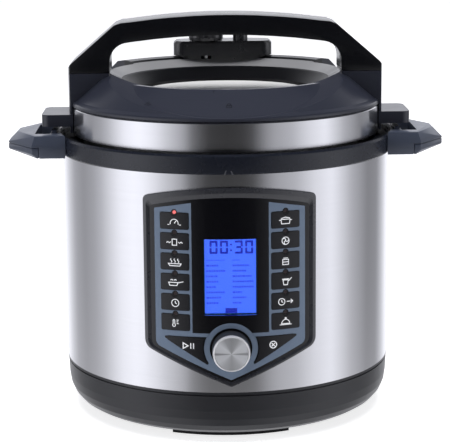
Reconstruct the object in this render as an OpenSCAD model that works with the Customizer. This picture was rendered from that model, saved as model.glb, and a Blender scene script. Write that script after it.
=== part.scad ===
// Electric pressure cooker, 6 litre class.
// Millimetres, +Z up, front towards -Y, origin on the floor at the cooker's axis.

/* [Body] */
// Outer radius of the steel shell
shell_r = 125; // [105:1:155]
// Height of the steel shell
shell_h = 158.9; // [130:0.1:200]
// Wall of the steel shell
shell_t = 0.8; // [0.6:0.1:1.2]
// Height of the black base housing
base_h = 34.4; // [28:0.1:45]
// Height of the rubber feet
foot_h = 4; // [3:0.5:8]
// Half angle that one foot covers
foot_angle = 24; // [15:1:35]
// Height of the top ring
ring_h = 14; // [12:0.5:25]
// How far the top ring stands proud of the shell
ring_over = 1.5; // [1:0.5:4]

/* [Pots] */
// Gap between the shell and the outer pot
liner_gap = 15.4; // [14:0.1:19]
// Wall of the outer pot
liner_t = 1.2; // [1:0.1:2]
// Radial gap between the two pots
pot_gap = 1.9; // [1.5:0.1:3]
// Wall of the inner pot
pot_t = 1.2; // [1:0.1:2]
// Radius of the heating plate
plate_r = 82; // [65:1:90]
// Thickness of the heating plate
plate_t = 12; // [9:1:14]
// Radius of the temperature sensor
sensor_r = 9; // [7:0.5:12]

/* [Lid] */
// Gap between the top ring and the lid
lid_gap = 0.6; // [0.5:0.1:2]
// Height of the brushed band round the lid
skirt_h = 21; // [18:0.1:26]
// Thickness of the steel lid
lid_t = 1.2; // [1:0.1:2]
// Rise of the cover from the band to the round opening
cover_rise = 19; // [14:0.1:26]
// Radius of the round opening in the cover
rim_r = 79; // [65:0.5:82]
// Rise of the rear deck above the opening
deck_rise = 5.2; // [3:0.1:8]
// Number of bayonet lugs
lug_count = 6; // [5:1:6]
// Angle that one lug covers
lug_angle = 26; // [20:1:27]
// Length of a side fin, outwards
fin_len = 19.8; // [12:0.1:21]
// Thickness of a side fin
fin_h = 9; // [6:0.5:11]
// Width of a side fin
fin_w = 48; // [30:1:50]

/* [Lid handle] */
// Depth of the lid handle, front to back
grip_d = 44; // [34:1:50]
// Height of the handle's crown above the cover's opening
grip_rise = 48.9; // [44:0.1:70]
// Thickness of the grip at its middle
grip_t = 15; // [12:0.5:20]
// Wall of the hollow handle
grip_wall = 2.6; // [2:0.1:4]

/* [Side handles] */
// Reach of a side handle beyond the shell
side_reach = 41; // [36:0.5:55]
// Half width of a side handle at its root
side_half = 40; // [32:1:45]
// Thickness of a side handle
side_t = 17; // [14:0.5:24]
// Width of the slot that takes a lid fin
slot_w = 11.5; // [9:0.5:14]
// Length of the slot
slot_len = 51; // [32:1:54]

/* [Control panel] */
// Half width of the panel
panel_half = 61.5; // [56:0.5:68]
// Height of the panel's crown above the floor
panel_top = 187.6; // [180:0.1:192]
// Width of the raised bezel
bezel_w = 3.6; // [2.5:0.1:5]
// Width of a function key
key_w = 21; // [16:0.5:23]
// Height of a function key
key_h = 11.8; // [8:0.1:12.5]
// Distance between function keys
key_pitch = 14.76; // [13.5:0.01:15.5]
// Travel of a key
key_travel = 0.7; // [0.4:0.1:1]
// Width of the display
lcd_w = 37.4; // [28:0.2:40]
// Height of the display
lcd_h = 55; // [40:0.5:58]
// Radius of the control knob
knob_r = 13.8; // [11:0.1:15]
// Depth of the control knob
knob_d = 14; // [10:0.5:18]

/* [Valves] */
// Half width of the valve housing
housing_half = 40; // [34:0.5:44]
// Height of the valve housing above the deck
housing_h = 14.7; // [12:0.1:20]
// Radius of the steam release knob
valve_r = 14; // [11:0.5:15]
// Radius of the float pin
float_r = 3; // [2.5:0.1:3.5]

/* [Condensation cup] */
// Width of the cup
cup_w = 50; // [36:1:60]
// Depth of the cup
cup_d = 17.5; // [14:0.5:28]
// Height of the cup
cup_h = 46; // [30:1:60]

/* [Clearances] */
// Gap between parts that only sit beside each other
gap = 0.3; // [0.2:0.05:0.5]
// Radial clearance of a shaft in its hole
fit = 0.06; // [0.02:0.01:0.1]

/* [Hidden] */
$fn = 96;
eps = 0.01;
far = 400;

// Heights
base_z = foot_h;
shell_z = base_z + base_h;
ring_z = shell_z + shell_h;
ring_top = ring_z + ring_h;
lid_z = ring_top + lid_gap;
skirt_top = lid_z + skirt_h;
rim_z = skirt_top + cover_rise;
deck_z = rim_z + deck_rise;
leg_z = deck_z + 0.7;
crown_z = rim_z + grip_rise;
plate_floor_t = 1.6;
board_z = base_z + 8;

// Radii
shell_in = shell_r - shell_t;
ring_r = shell_r + ring_over;
skirt_r = shell_r - 7.5;
liner_r = shell_r - liner_gap;
liner_in = liner_r - liner_t;
pot_r = liner_in - pot_gap;
pot_in = pot_r - pot_t;
neck_r = ring_r - 10.2;

// Pots and heater, stacked from the base
liner_z = base_z + 25;
plate_leg = 8;
plate_z = liner_z + liner_t + plate_leg;
plate_top = plate_z + plate_t;
element_r = plate_r - 34;
pot_z = plate_top + gap;
liner_top = lid_z + 4.8;
lug_z = liner_top - 1.8;
lug_out = skirt_r - lid_t - 1.3;
hook_z = lid_z + 0.2;
hook_t = 1.6;
hook_in = liner_r + 1.3;
pot_top = liner_top - 2.2;
pot_rim_r = liner_in - 0.5;
base_screw_r = shell_r - 29.5;
board_posts = [[-57, -19], [-57, 25], [17, -19], [17, 25]];

// Seal and its rack
seal_out = pot_rim_r;
seal_in = seal_out - 6.6;
seal_z = pot_top + gap;
seal_top = lid_z + 15.4;
rack_z = (seal_z + seal_top) / 2;
rack_wire = 1.3;
rack_r = seal_in + 1.8;

// Lid handle
grip_out = shell_r - 5.4;
grip_in = grip_out - 32.3;
grip_slope_x = grip_out - 36;
grip_slope_z = crown_z - 7.3;
grip_knee_z = crown_z - 36.3;
crown_half = grip_slope_x - 11.6;
crown_drop = 4.9;
grip_in_top = crown_z - grip_t;
grip_screw_x = grip_out - 12;
grip_bosses = [-48, -16, 16, 48];

// Side handles
side_x = shell_r + side_reach;
side_top = ring_top + 1.8;
side_z = side_top - side_t;
side_part_z = side_z + 8.5;
side_part_x = ring_r + 14;
side_screw_z = ring_z + 5.5;
slot_x = side_x - 33;

// Panel
bezel_out = shell_r + 2.6;
face_out = shell_r + 1.4;
face_in = shell_r + 0.2;
key_face = face_out + 0.4;
key_r = key_face - 0.6;
key_x = 39.3;
key_a = asin(key_x / key_r);
key_top_z = 163.9;
start_x = 33;
start_a = asin(start_x / key_r);
panel_low = 77.5;
panel_tip = 45.6;
lcd_z = 123.5;
knob_z = 71.7;
knob_ring_r = 18.8;
knob_back = shell_r + 2.9;
crown_r = 332;
board_t = 1.6;
board_y = liner_r + 2;
switch_top = board_y + board_t + 2;
stem_tip = switch_top + key_travel + 0.15;
key_back = stem_tip + 2;
big_stem_z = 74.5;
shaft_r = 3;

// Valves
valve_x = -13.5;
valve_y = rim_r + 12;
float_x = 14.5;
pipe_r = 3.5;
pipe_base_r = 4.6;
shield_r = 6.6;
housing_front = rim_r + 1.5;
housing_top = deck_z + housing_h;
guard_r = 6;
deck_half = 54;

// Condensation cup
cup_y = shell_r + 4;
cup_top = ring_z - 12;
cup_wall = 1.6;

// Colours
black = [0.10, 0.11, 0.13];
navy = [0.17, 0.19, 0.23];
steel = [0.75, 0.75, 0.77];
aluminium = [0.80, 0.80, 0.80];
silicone = [0.92, 0.92, 0.88];
rubber = [0.08, 0.08, 0.08];
green = [0.05, 0.30, 0.15];
brass = [0.80, 0.65, 0.30];

// ---------- shared shapes ----------

// Tube between two radii and two heights.
module tube(r_in, r_out, z_low, z_high) {
    translate([0, 0, z_low]) difference() {
        cylinder(r = r_out, h = z_high - z_low);
        translate([0, 0, -1]) cylinder(r = r_in, h = z_high - z_low + 2);
    }
}

// Arc of a tube, centred on an angle measured from +X.
module arc_block(r_in, r_out, z_low, z_high, centre, half) {
    rotate([0, 0, centre - half]) rotate_extrude(angle = 2 * half)
        translate([r_in, z_low]) square([r_out - r_in, z_high - z_low]);
}

// Box given by its low and high corners.
module block(low, high) {
    translate(low) cube(high - low);
}

// A drawing in the X-Z plane, extruded forwards from y = -near to y = -away.
module front_prism(near, away) {
    translate([0, -near, 0]) rotate([90, 0, 0]) linear_extrude(away - near) children();
}

// A drawing in the X-Z plane, extruded both ways from the X-Z plane.
module middle_prism(depth) {
    translate([0, depth / 2, 0]) rotate([90, 0, 0]) linear_extrude(depth) children();
}

// The same for each of the two sides.
module both_sides() {
    children();
    mirror([1, 0, 0]) children();
}

// Rectangle with rounded corners, centred.
module round_rect(w, h, r) {
    offset(r = r, $fn = 32) square([w - 2 * r, h - 2 * r], center = true);
}

// Straight points of an arch: height falls with the square of the distance from the middle.
function arch(half, top, drop, steps) =
    [for (i = [0 : steps]) let (x = half * (1 - 2 * i / steps)) [x, top - drop * pow(x / half, 2)]];

// ---------- base ----------

// Outer line of the base: how far inside the shell's radius, and the height above the feet.
base_line = [
    [17, 0], [12.4, 0.6], [8, 3.4], [4.2, 8], [1.8, 13.5], [0.8, 20], [0.2, base_h - 3],
    [1.2, base_h - 2.9], [1.2, base_h - 2], [0, base_h - 1.9], [0, base_h]
];

module base_housing() {
    color(black) difference() {
        union() {
            translate([0, 0, base_z]) rotate_extrude() polygon(concat(
                [[shell_r - 26, 0]],
                [for (p = base_line) [shell_r - p[0], p[1]]],
                [[shell_in - gap, base_h], [shell_in - gap, base_h + 6],
                 [shell_in - gap - 2.2, base_h + 6], [shell_in - gap - 2.2, base_h - 4]],
                [[shell_r - 4.2, 20], [shell_r - 6.4, 9.6], [shell_r - 10.4, 5.6], [shell_r - 15, 2.8],
                 [shell_r - 22.8, 2.6], [shell_r - 22.8, 6], [shell_r - 26, 6]]
            ));
            for (a = [45 : 90 : 315]) rotate([0, 0, a])
                translate([base_screw_r, 0, base_z + plate_floor_t + gap])
                    cylinder(r = 5, h = 11);
            inlet_boss();
        }
        for (a = [45 : 90 : 315]) rotate([0, 0, a])
            translate([base_screw_r, 0, base_z]) cylinder(r = 1.7, h = 30);
        inlet_hole(gap);
    }
}

inlet_z = base_z + 13.4;
inlet_w = 30;
inlet_h = 20;
inlet_y = shell_r - 1.2;
inlet_lip = 2.4;

module inlet_boss() {
    block([-inlet_w / 2 - 4, inlet_y - 9, inlet_z - inlet_h / 2 - 3],
          [inlet_w / 2 + 4, inlet_y - 1, inlet_z + inlet_h / 2 + 3]);
}

module inlet_hole(g) {
    block([-inlet_w / 2 - g, inlet_y - 40, inlet_z - inlet_h / 2 - g],
          [inlet_w / 2 + g, inlet_y + 12, inlet_z + inlet_h / 2 + g]);
    translate([0, inlet_y + 12, inlet_z]) rotate([90, 0, 0]) linear_extrude(13)
        round_rect(inlet_w + 2 * inlet_lip + 2 * g, inlet_h + 2 * inlet_lip + 2 * g, 3);
}

module power_inlet() {
    color(rubber) difference() {
        union() {
            block([-inlet_w / 2, inlet_y - 24, inlet_z - inlet_h / 2], [inlet_w / 2, inlet_y - 1, inlet_z + inlet_h / 2]);
            translate([0, inlet_y + 1, inlet_z]) rotate([90, 0, 0]) linear_extrude(2 - gap)
                round_rect(inlet_w + 2 * inlet_lip, inlet_h + 2 * inlet_lip, 3);
        }
        translate([0, inlet_y + 2, inlet_z]) rotate([90, 0, 0]) linear_extrude(20) difference() {
            square([24.4, 16.4], center = true);
            for (x = [-1, 1]) translate([x * 12.2, 8.2]) rotate(45) square(5, center = true);
        }
    }
    color(brass) for (p = [[-7, -1.6], [7, -1.6], [0, 2.6]])
        translate([p[0] - 1, inlet_y - 18.5, inlet_z + p[1] - 2]) cube([2, 15, 4]);
}

module base_plate() {
    color(black) difference() {
        union() {
            translate([0, 0, base_z + 0.2]) cylinder(r = shell_r - 26 - gap, h = plate_floor_t - 0.2);
            for (a = [20 : 40 : 340]) rotate([0, 0, a])
                block([24, -0.8, base_z + 1], [77.2, 0.8, base_z + plate_floor_t + 3]);
            tube(76.5, 78, base_z + 1, base_z + plate_floor_t + 3.5);
            for (p = board_posts) translate([p[0], p[1], base_z + 0.2]) cylinder(r = 3.4, h = 7.7);
        }
        for (a = [45 : 90 : 315]) rotate([0, 0, a])
            translate([base_screw_r, 0, base_z - 1]) cylinder(r = 1.9, h = 6);
        for (r = [32 : 8 : 64], a = [0 : 40 : 320]) difference() {
            arc_block(r, r + 3.2, base_z - 1, base_z + 9, a, 13);
            for (p = board_posts) translate([p[0], p[1], 0]) cylinder(r = 5, h = 40);
        }
    }
}

module rubber_feet() {
    color(rubber) for (a = [0 : 90 : 270]) difference() {
        arc_block(shell_r - 29, shell_r - 19.5, 0, foot_h, a, foot_angle);
        translate([0, 0, -eps]) arc_block(shell_r - 26.5, shell_r - 22, -1, 1.2, a, foot_angle - 3);
        rotate([0, 0, a + 45]) translate([base_screw_r, 0, -1]) cylinder(r = 5, h = 12);
    }
}

module screw(head_r, shank_r, len) {
    translate([0, 0, -2]) difference() {
        cylinder(r = head_r, h = 2);
        for (a = [0, 90]) rotate([0, 0, a]) block([-head_r * 0.7, -0.4, -1], [head_r * 0.7, 0.4, 0.8]);
    }
    translate([0, 0, -eps]) cylinder(r = shank_r, h = len);
}

module base_screws() {
    color(steel) for (a = [45 : 90 : 315]) rotate([0, 0, a])
        translate([base_screw_r, 0, base_z + 0.2]) screw(3.4, 1.6, 10);
}

module power_board() {
    color(green) difference() {
        block([-62, -24, board_z], [22, 30, board_z + board_t]);
        for (p = board_posts) translate([p[0], p[1], 0]) cylinder(r = 1.8, h = 40);
    }
    color(black) block([-55, -16, board_z + board_t], [-39, 6, base_z + 20]);
    color(black) block([-34, 4, board_z + board_t], [-18, 24, base_z + 19]);
    color(navy) for (x = [-30, -20]) translate([x, -12, board_z + board_t]) cylinder(r = 4, h = 10);
    color(steel) block([-12, -18, board_z + board_t], [4, -15, base_z + 20]);
}

// ---------- shell and ring ----------

module outer_shell() {
    color(steel) difference() {
        tube(shell_in, shell_r, shell_z, ring_z);
        front_prism(60, 200) offset(delta = -1.2) panel_outline();
        for (x = [-14, 14]) translate([x, 0, cup_top + 4])
            rotate([-90, 0, 0]) cylinder(r = 1.7, h = 200);
    }
}

module top_ring() {
    color(navy) difference() {
        rotate_extrude() polygon([
            [neck_r, ring_top - 4.4], [shell_r - 3.5, ring_top - 4.4], [shell_r - 3.5, ring_z + 1.4],
            [shell_in - 3, ring_z + 1.4], [shell_in - 3, ring_z - 7], [shell_in - gap, ring_z - 7],
            [shell_in - gap, ring_z], [ring_r - 0.8, ring_z], [ring_r, ring_z + 1],
            [ring_r + 0.2, ring_z + ring_h / 2], [ring_r - 0.2, ring_top - 1.6], [ring_r - 1.4, ring_top],
            [ring_r - 2.6, ring_top], [ring_r - 3.4, ring_top - 2.4], [neck_r, ring_top - 2.4]
        ]);
        for (a = [0, 180], t = [-10, 10]) rotate([0, 0, a + t])
            translate([shell_r - 12, 0, side_screw_z]) rotate([0, 90, 0]) cylinder(r = 1.9, h = 30);
    }
    color(navy) for (a = [15 : 30 : 345]) rotate([0, 0, a])
        block([neck_r + 2, -0.8, ring_z + 2], [shell_r - 3.5 + eps, 0.8, ring_top - 4.4 + eps]);
}

// ---------- side handles ----------

// One level of a side handle: straight sides from the ring to a corner, then in to a blunt tip.
module side_level(half, corner, tip, low, high) {
    translate([0, 0, low]) linear_extrude(high - low) polygon([
        [shell_r - 20, half], [corner, half], [tip, 9], [tip, -9], [corner, -half], [shell_r - 20, -half]
    ]);
}

// Side handle before it is split: widest above its middle, bevelled towards the top and the underside.
module side_body() {
    difference() {
        hull() {
            side_level(side_half - 1.5, side_x - 22.5, side_x - 7.4, side_top - 0.1, side_top);
            side_level(side_half, side_x - 20, side_x, side_z + 3.6, side_part_z + 1);
            side_level(side_half - 2, side_x - 24, side_x - 17, side_z, side_z + 0.1);
        }
        translate([0, 0, -1]) cylinder(r = ring_r + 0.2 + gap, h = far);
        block([slot_x, -slot_len / 2, side_z - 1], [slot_x + slot_w, slot_len / 2, side_top + 1]);
    }
}

module side_handle() {
    color(navy) difference() {
        union() {
            difference() {
                side_body();
                block([side_part_x, -far, 0], [far, far, side_part_z]);
            }
            block([ring_r + 1.8, -slot_len / 2 + 3, side_top - eps], [slot_x - 1.2, slot_len / 2 - 3, side_top + 2.2]);
        }
        for (t = [-10, 10]) rotate([0, 0, t]) translate([ring_r - 10, 0, side_screw_z])
            rotate([0, 90, 0]) cylinder(r = 1.5, h = 18.5);
    }
}

module handle_cover() {
    color(navy) intersection() {
        side_body();
        block([side_part_x + 0.25, -far, side_z - 1], [far, far, side_part_z - 0.25]);
    }
}

module side_handle_right() { side_handle(); }
module side_handle_left() { mirror([1, 0, 0]) side_handle(); }
module handle_cover_right() { handle_cover(); }
module handle_cover_left() { mirror([1, 0, 0]) handle_cover(); }

module handle_screws() {
    color(steel) for (a = [0, 180], t = [-10, 10]) rotate([0, 0, a + t])
        translate([shell_r - 3.5, 0, side_screw_z]) rotate([0, 90, 0]) {
            translate([0, 0, -2.2]) cylinder(r = 3.4, h = 2);
            translate([0, 0, -0.3]) cylinder(r = 1.4, h = 13);
        }
}

// ---------- pots and heater ----------

module outer_pot() {
    color(steel) difference() {
        union() {
            rotate_extrude() polygon([
                [40, liner_z], [liner_r - 6, liner_z], [liner_r - 1.6, liner_z + 1.8], [liner_r, liner_z + 6],
                [liner_r, liner_top - liner_t], [liner_r + 1.2, liner_top - liner_t], [liner_r + 1.2, liner_top],
                [liner_in, liner_top], [liner_in, liner_z + 6.6], [liner_r - 2.4, liner_z + 2.8],
                [liner_r - 6.2, liner_z + liner_t], [40, liner_z + liner_t]
            ]);
            for (i = [0 : lug_count - 1])
                arc_block(liner_r - 0.6, lug_out, lug_z, liner_top, (i + 0.5) * 360 / lug_count, lug_angle / 2);
        }
        for (a = [90 : 120 : 330]) rotate([0, 0, a])
            translate([plate_r - 16, 0, liner_z - 1]) cylinder(r = 2.1, h = 6);
        for (a = [15, 345]) rotate([0, 0, a])
            translate([element_r, 0, liner_z - 1]) cylinder(r = 3.4, h = 6);
    }
}

module heating_plate() {
    color(aluminium) difference() {
        union() {
            rotate_extrude() polygon([
                [sensor_r + 3, plate_z], [plate_r - 2, plate_z], [plate_r, plate_z + 2],
                [plate_r, plate_top - 2.6], [plate_r - 3, plate_top - 0.5], [plate_r - 22, plate_top],
                [sensor_r + 4, plate_top], [sensor_r + 3, plate_top - 1]
            ]);
            for (a = [90 : 120 : 330]) rotate([0, 0, a])
                translate([plate_r - 16, 0, liner_z + liner_t]) cylinder(r = 5, h = plate_leg + 1);
        }
        for (a = [90 : 120 : 330]) rotate([0, 0, a])
            translate([plate_r - 16, 0, liner_z - 1]) cylinder(r = 1.8, h = 9);
        rotate_extrude() translate([element_r, plate_z]) circle(r = 4.2);
        for (r = [sensor_r + 10 : 8 : plate_r - 26]) tube(r, r + 1, plate_top - 0.4, plate_top + 1);
    }
}

module heating_element() {
    color(steel) {
        rotate([0, 0, 15]) rotate_extrude(angle = 330) translate([element_r, plate_z - 0.1]) circle(r = 3.9);
        for (a = [15, 345]) rotate([0, 0, a]) translate([element_r, 0, plate_z - 13])
            cylinder(r = 2.2, h = 12);
    }
}

module sensor_bracket() {
    color(steel) {
        difference() {
            block([-34, -6, liner_z - 2.4], [34, 6, liner_z - 0.2]);
            translate([0, 0, liner_z - 5]) cylinder(r = 3.4, h = 10);
        }
        for (x = [-1, 1]) translate([x * 37, 0, 0])
            block([-4 - eps, -6, liner_z - 2.4], [4, 6, liner_z - 0.2]);
        difference() {
            block([-41, -6, liner_z - 2.4], [-40 + eps, 6, liner_z - 0.2]);
            translate([0, 0, liner_z - 5]) cylinder(r = 3.4, h = 10);
        }
    }
}

module sensor_plunger() {
    color(aluminium) {
        translate([0, 0, plate_top - 9]) cylinder(r = sensor_r, h = 8.6);
        translate([0, 0, plate_top - 0.4 - eps]) cylinder(r1 = sensor_r, r2 = sensor_r - 0.6, h = 0.4 + eps);
        translate([0, 0, liner_z - 6]) cylinder(r = 3.2, h = plate_top - 9 - liner_z + 6 + eps);
    }
}

module sensor_spring() {
    turns = 5;
    low = liner_z + gap;
    high = plate_top - 9 - gap;
    color(steel) for (i = [0 : turns - 1])
        translate([0, 0, low + 0.8 + i * (high - low - 1.6) / (turns - 1)])
            rotate_extrude() translate([5.2, 0]) circle(r = 0.7, $fn = 16);
}

module pressure_switch() {
    color(black) block([-8, 42, board_z], [8, 62, liner_z - 4.6]);
    color(steel) block([-5, 40, liner_z - 4.6 - eps], [5, 64, liner_z - 3.6]);
    color(steel) translate([0, 52, liner_z - 3.6 - eps]) cylinder(r = 3, h = 3.3);
}

module inner_pot() {
    color(steel) rotate_extrude() polygon([
        [0, pot_z], [pot_r - 12, pot_z], [pot_r - 4.2, pot_z + 2.4], [pot_r - 0.8, pot_z + 7.4],
        [pot_r, pot_z + 13], [pot_r, pot_top - 2.2], [pot_rim_r, pot_top - 1.6], [pot_rim_r, pot_top - 0.5],
        [pot_rim_r - 0.6, pot_top], [pot_in - 0.2, pot_top], [pot_in, pot_top - 1],
        [pot_in, pot_z + 13.2], [pot_in - 0.8, pot_z + 8.2], [pot_in - 3.8, pot_z + 3.6],
        [pot_r - 12.4, pot_z + pot_t], [0, pot_z + pot_t]
    ]);
}

// ---------- control panel ----------

// Outline in the X-Z plane: arched top, straight sides, lower edge that runs to a point.
module panel_outline() {
    offset(r = 5) offset(delta = -5) intersection() {
        polygon([
            [-panel_half, far], [-panel_half, panel_low], [0, panel_tip], [panel_half, panel_low],
            [panel_half, far]
        ]);
        translate([0, panel_top - crown_r]) circle(r = crown_r, $fn = 360);
    }
}

module control_bezel() {
    color(black) {
        intersection() {
            tube(face_in - 0.2, bezel_out, panel_tip - 10, panel_top + 10);
            front_prism(60, 200) difference() {
                panel_outline();
                offset(delta = -bezel_w) panel_outline();
            }
        }
        intersection() {
            tube(shell_in - 2.6, face_in - 0.2 + eps, panel_tip - 10, panel_top + 10);
            front_prism(60, 200) difference() {
                offset(delta = -1.5) panel_outline();
                offset(delta = -bezel_w) panel_outline();
            }
        }
    }
}

// One function key, in its column's own frame (its face looks along -Y).
module key_shape(g) {
    difference() {
        round_rect(key_w + 2 * g, key_h + 2 * g, 1 + g);
        translate([0, key_h / 2 + 0.2]) circle(r = 2.6 - g, $fn = 32);
    }
}

// Start or cancel key: a triangle whose inner side curves round the knob.
module start_shape(g) {
    offset(delta = g) difference() {
        offset(r = 0.8) offset(delta = -0.8) polygon([[-17, 79.6], [17, 79.6], [17, 59.6]]);
        translate([start_x, knob_z]) circle(r = knob_ring_r + 0.9, $fn = 96);
    }
}

function key_height(row) = key_top_z - row * key_pitch;

// Column of the keys: side is -1 on the left and 1 on the right.
module in_column(side, angle) {
    rotate([0, 0, side * angle]) children();
}

module key_holes() {
    for (side = [-1, 1]) {
        in_column(side, key_a) for (row = [0 : 5])
            front_prism(60, 200) translate([0, key_height(row)]) key_shape(gap);
        in_column(side, start_a) front_prism(60, 200) mirror([side > 0 ? 1 : 0, 0]) start_shape(gap);
        in_column(side, key_a) for (row = [0 : 5]) translate([0, 0, key_height(row) + key_h / 2 + 0.2])
            rotate([90, 0, 0]) cylinder(r = 1.5, h = 200, $fn = 32);
    }
}

module panel_overlay() {
    color(black) difference() {
        intersection() {
            tube(face_in, face_out, panel_tip - 10, panel_top + 10);
            front_prism(60, 200) offset(delta = -bezel_w - 0.15) panel_outline();
        }
        key_holes();
        front_prism(60, 200) translate([0, lcd_z]) round_rect(lcd_w + 0.4, lcd_h + 0.4, 1.2);
        front_prism(60, 200) translate([0, knob_z]) circle(r = 6.4);
    }
    color(black) intersection() {
        difference() {
            front_prism(shell_r - 8, bezel_out + 0.2) translate([0, knob_z]) circle(r = knob_ring_r);
            front_prism(60, 200) translate([0, knob_z]) circle(r = knob_ring_r - 3.6);
        }
        tube(face_out - eps, bezel_out + 0.2, 0, far);
    }
}

module function_key(index) {
    side = index < 6 ? -1 : 1;
    color(black) in_column(side, key_a) key_body(key_height(index % 6)) key_shape(0);
}

// Cap of a key with its curved face and a stem that reaches the switch.
module key_body(height) {
    intersection() {
        front_prism(key_back, 200) translate([0, height]) children();
        tube(60, key_face, 0, far);
    }
    front_prism(stem_tip, key_back + eps) translate([0, height]) square(5, center = true);
}

module key_1() { function_key(0); }
module key_2() { function_key(1); }
module key_3() { function_key(2); }
module key_4() { function_key(3); }
module key_5() { function_key(4); }
module key_6() { function_key(5); }
module key_7() { function_key(6); }
module key_8() { function_key(7); }
module key_9() { function_key(8); }
module key_10() { function_key(9); }
module key_11() { function_key(10); }
module key_12() { function_key(11); }

module big_key(side) {
    color(black) in_column(side, start_a) {
        intersection() {
            front_prism(key_back, 200) mirror([side > 0 ? 1 : 0, 0]) start_shape(0);
            tube(60, key_face, 0, far);
        }
        front_prism(stem_tip, key_back + eps) translate([-side * 5, big_stem_z]) square(5, center = true);
    }
}

module start_key() { big_key(-1); }
module cancel_key() { big_key(1); }

module display_window() {
    color([0.4, 0.6, 0.9]) intersection() {
        tube(face_in, face_out - 0.3, 0, far);
        front_prism(60, 200) translate([0, lcd_z]) round_rect(lcd_w, lcd_h, 1);
    }
}

module display_module() {
    color([0.1, 0.3, 0.9]) front_prism(board_y + board_t + gap, shell_r - 3.4)
        translate([0, lcd_z]) square([lcd_w - 1, lcd_h - 1], center = true);
}

module display_board() {
    color(green) front_prism(board_y, board_y + board_t) difference() {
        translate([-20, 52]) square([40, 126]);
        for (z = [56, 174]) translate([0, z]) circle(r = 1.6);
    }
    color(black) front_prism(board_y + board_t - eps, board_y + board_t + 2.6)
        translate([0, 163]) square([14, 10], center = true);
    color(black) for (x = [-10, 10]) front_prism(board_y + board_t - eps, board_y + board_t + 4)
        translate([x, 92]) square([4, 6], center = true);
}

// Two narrow boards behind the key columns, with one tact switch for each key.
module key_boards() {
    for (side = [-1, 1]) in_column(side, key_a) {
        color(green) front_prism(board_y, board_y + board_t) translate([-side * 3 - 7.5, 72]) square([15, 104]);
        color(steel) for (row = [0 : 5]) front_prism(board_y + board_t - eps, switch_top)
            translate([0, key_height(row)]) square(6, center = true);
        color(steel) front_prism(board_y + board_t - eps, switch_top - 0.6)
            translate([-side * 7.6, big_stem_z]) square(6, center = true);
    }
}

module indicator_lights() {
    color([0.8, 0.1, 0.1]) for (side = [-1, 1]) in_column(side, key_a) for (row = [0 : 5])
        translate([0, -switch_top, key_height(row) + key_h / 2 + 0.2])
            rotate([90, 0, 0]) cylinder(r = 1.2, h = face_out - switch_top - 0.3, $fn = 32);
}

module rotary_encoder() {
    color(steel) {
        front_prism(board_y + board_t + gap, board_y + board_t + 7) translate([0, knob_z])
            square(12.4, center = true);
        front_prism(board_y + board_t + 7 - eps, knob_back + 1.2) translate([0, knob_z]) circle(r = 3.6);
        front_prism(board_y + board_t + 7, knob_back + 9) translate([0, knob_z]) circle(r = shaft_r);
    }
}

module control_knob() {
    color(steel) translate([0, -knob_back, knob_z]) rotate([90, 0, 0]) difference() {
        rotate_extrude() polygon([
            [0, 0], [knob_r - 0.6, 0], [knob_r, 0.8], [knob_r - 0.5, knob_d - 1.6],
            [knob_r - 1.1, knob_d - 0.6], [knob_r - 1.6, knob_d], [0, knob_d]
        ]);
        translate([0, 0, -1]) cylinder(r = shaft_r + fit, h = 11);
        translate([0, 0, -1]) cylinder(r = 4.2, h = 3);
        translate([0, 0, -1]) difference() {
            cylinder(r = knob_r - 2.4, h = knob_d - 2.2);
            translate([0, 0, -1]) cylinder(r = 5.6, h = far);
            for (a = [0 : 60 : 120]) rotate([0, 0, a]) block([-far, -0.7, -1], [far, 0.7, far]);
        }
        translate([0, 0, knob_d - 0.9]) cylinder(r = knob_r - 2, h = 2);
    }
}

module knob_cap() {
    color(aluminium) translate([0, -knob_back - knob_d + 0.85, knob_z]) rotate([90, 0, 0]) difference() {
        cylinder(r = knob_r - 2.1, h = 0.7);
        translate([0, knob_r - 4.1, 0.4]) cylinder(r = 1.1, h = 2, $fn = 32);
    }
}

// ---------- lid ----------

module steel_lid() {
    s = skirt_r;
    top = [
        [62, lid_z + 30.2], [67, lid_z + 28.2], [seal_in - 3.4, lid_z + 25], [seal_in - 1, lid_z + 23.2],
        [seal_in + 0.6, lid_z + 18.2], [seal_in + 2.2, lid_z + 17], [seal_out + 0.6, lid_z + 17],
        [seal_out + 2.6, lid_z + 18.2], [s - 4.6, skirt_top - 0.7], [s - 1.1, skirt_top - 0.2],
        [s, skirt_top - 1.3], [s, lid_z]
    ];
    under = [
        [s - lid_t, lid_z], [s - lid_t, skirt_top - 2.2], [s - 2, skirt_top - 1.4], [s - 4.2, skirt_top - 1.9],
        [seal_out + 3, lid_z + 17], [seal_out + 1, lid_z + 15.8], [seal_in + 1.6, lid_z + 15.8],
        [seal_in - 0.4, lid_z + 17.4], [seal_in - 2, lid_z + 22.2], [seal_in - 4, lid_z + 23.8],
        [66.6, lid_z + 27], [61.8, lid_z + 29]
    ];
    color(steel) difference() {
        union() {
            rotate_extrude() polygon(concat([[0, lid_z + 31.2]], top, under, [[0, lid_z + 30]]));
            for (i = [0 : lug_count - 1])
                arc_block(hook_in, s - lid_t + eps, hook_z, hook_z + hook_t, i * 360 / lug_count, lug_angle / 2);
        }
        translate([valve_x, valve_y, lid_z]) cylinder(r = pipe_base_r + 0.2, h = 40);
        translate([float_x, valve_y, lid_z]) cylinder(r = float_r + 0.5, h = 40);
    }
}

module sealing_ring() {
    o = seal_out;
    n = seal_in;
    color(silicone) rotate_extrude() polygon([
        [o - 1.8, seal_z], [o - 0.6, seal_z], [o, seal_z + 1.2], [o, seal_top - 1.2], [o - 1, seal_top],
        [n + 2, seal_top], [n + 0.9, seal_top - 0.8], [n + 0.6, seal_top - 3], [n + 0.6, rack_z + 2.2],
        [n + 3.6, rack_z + 1.9], [n + 3.6, rack_z - 1.9], [n + 0.6, rack_z - 2.2], [n, seal_z + 1.4],
        [n + 0.7, seal_z], [n + 1.7, seal_z], [o - 3.2, seal_z + 2]
    ]);
}

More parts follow.
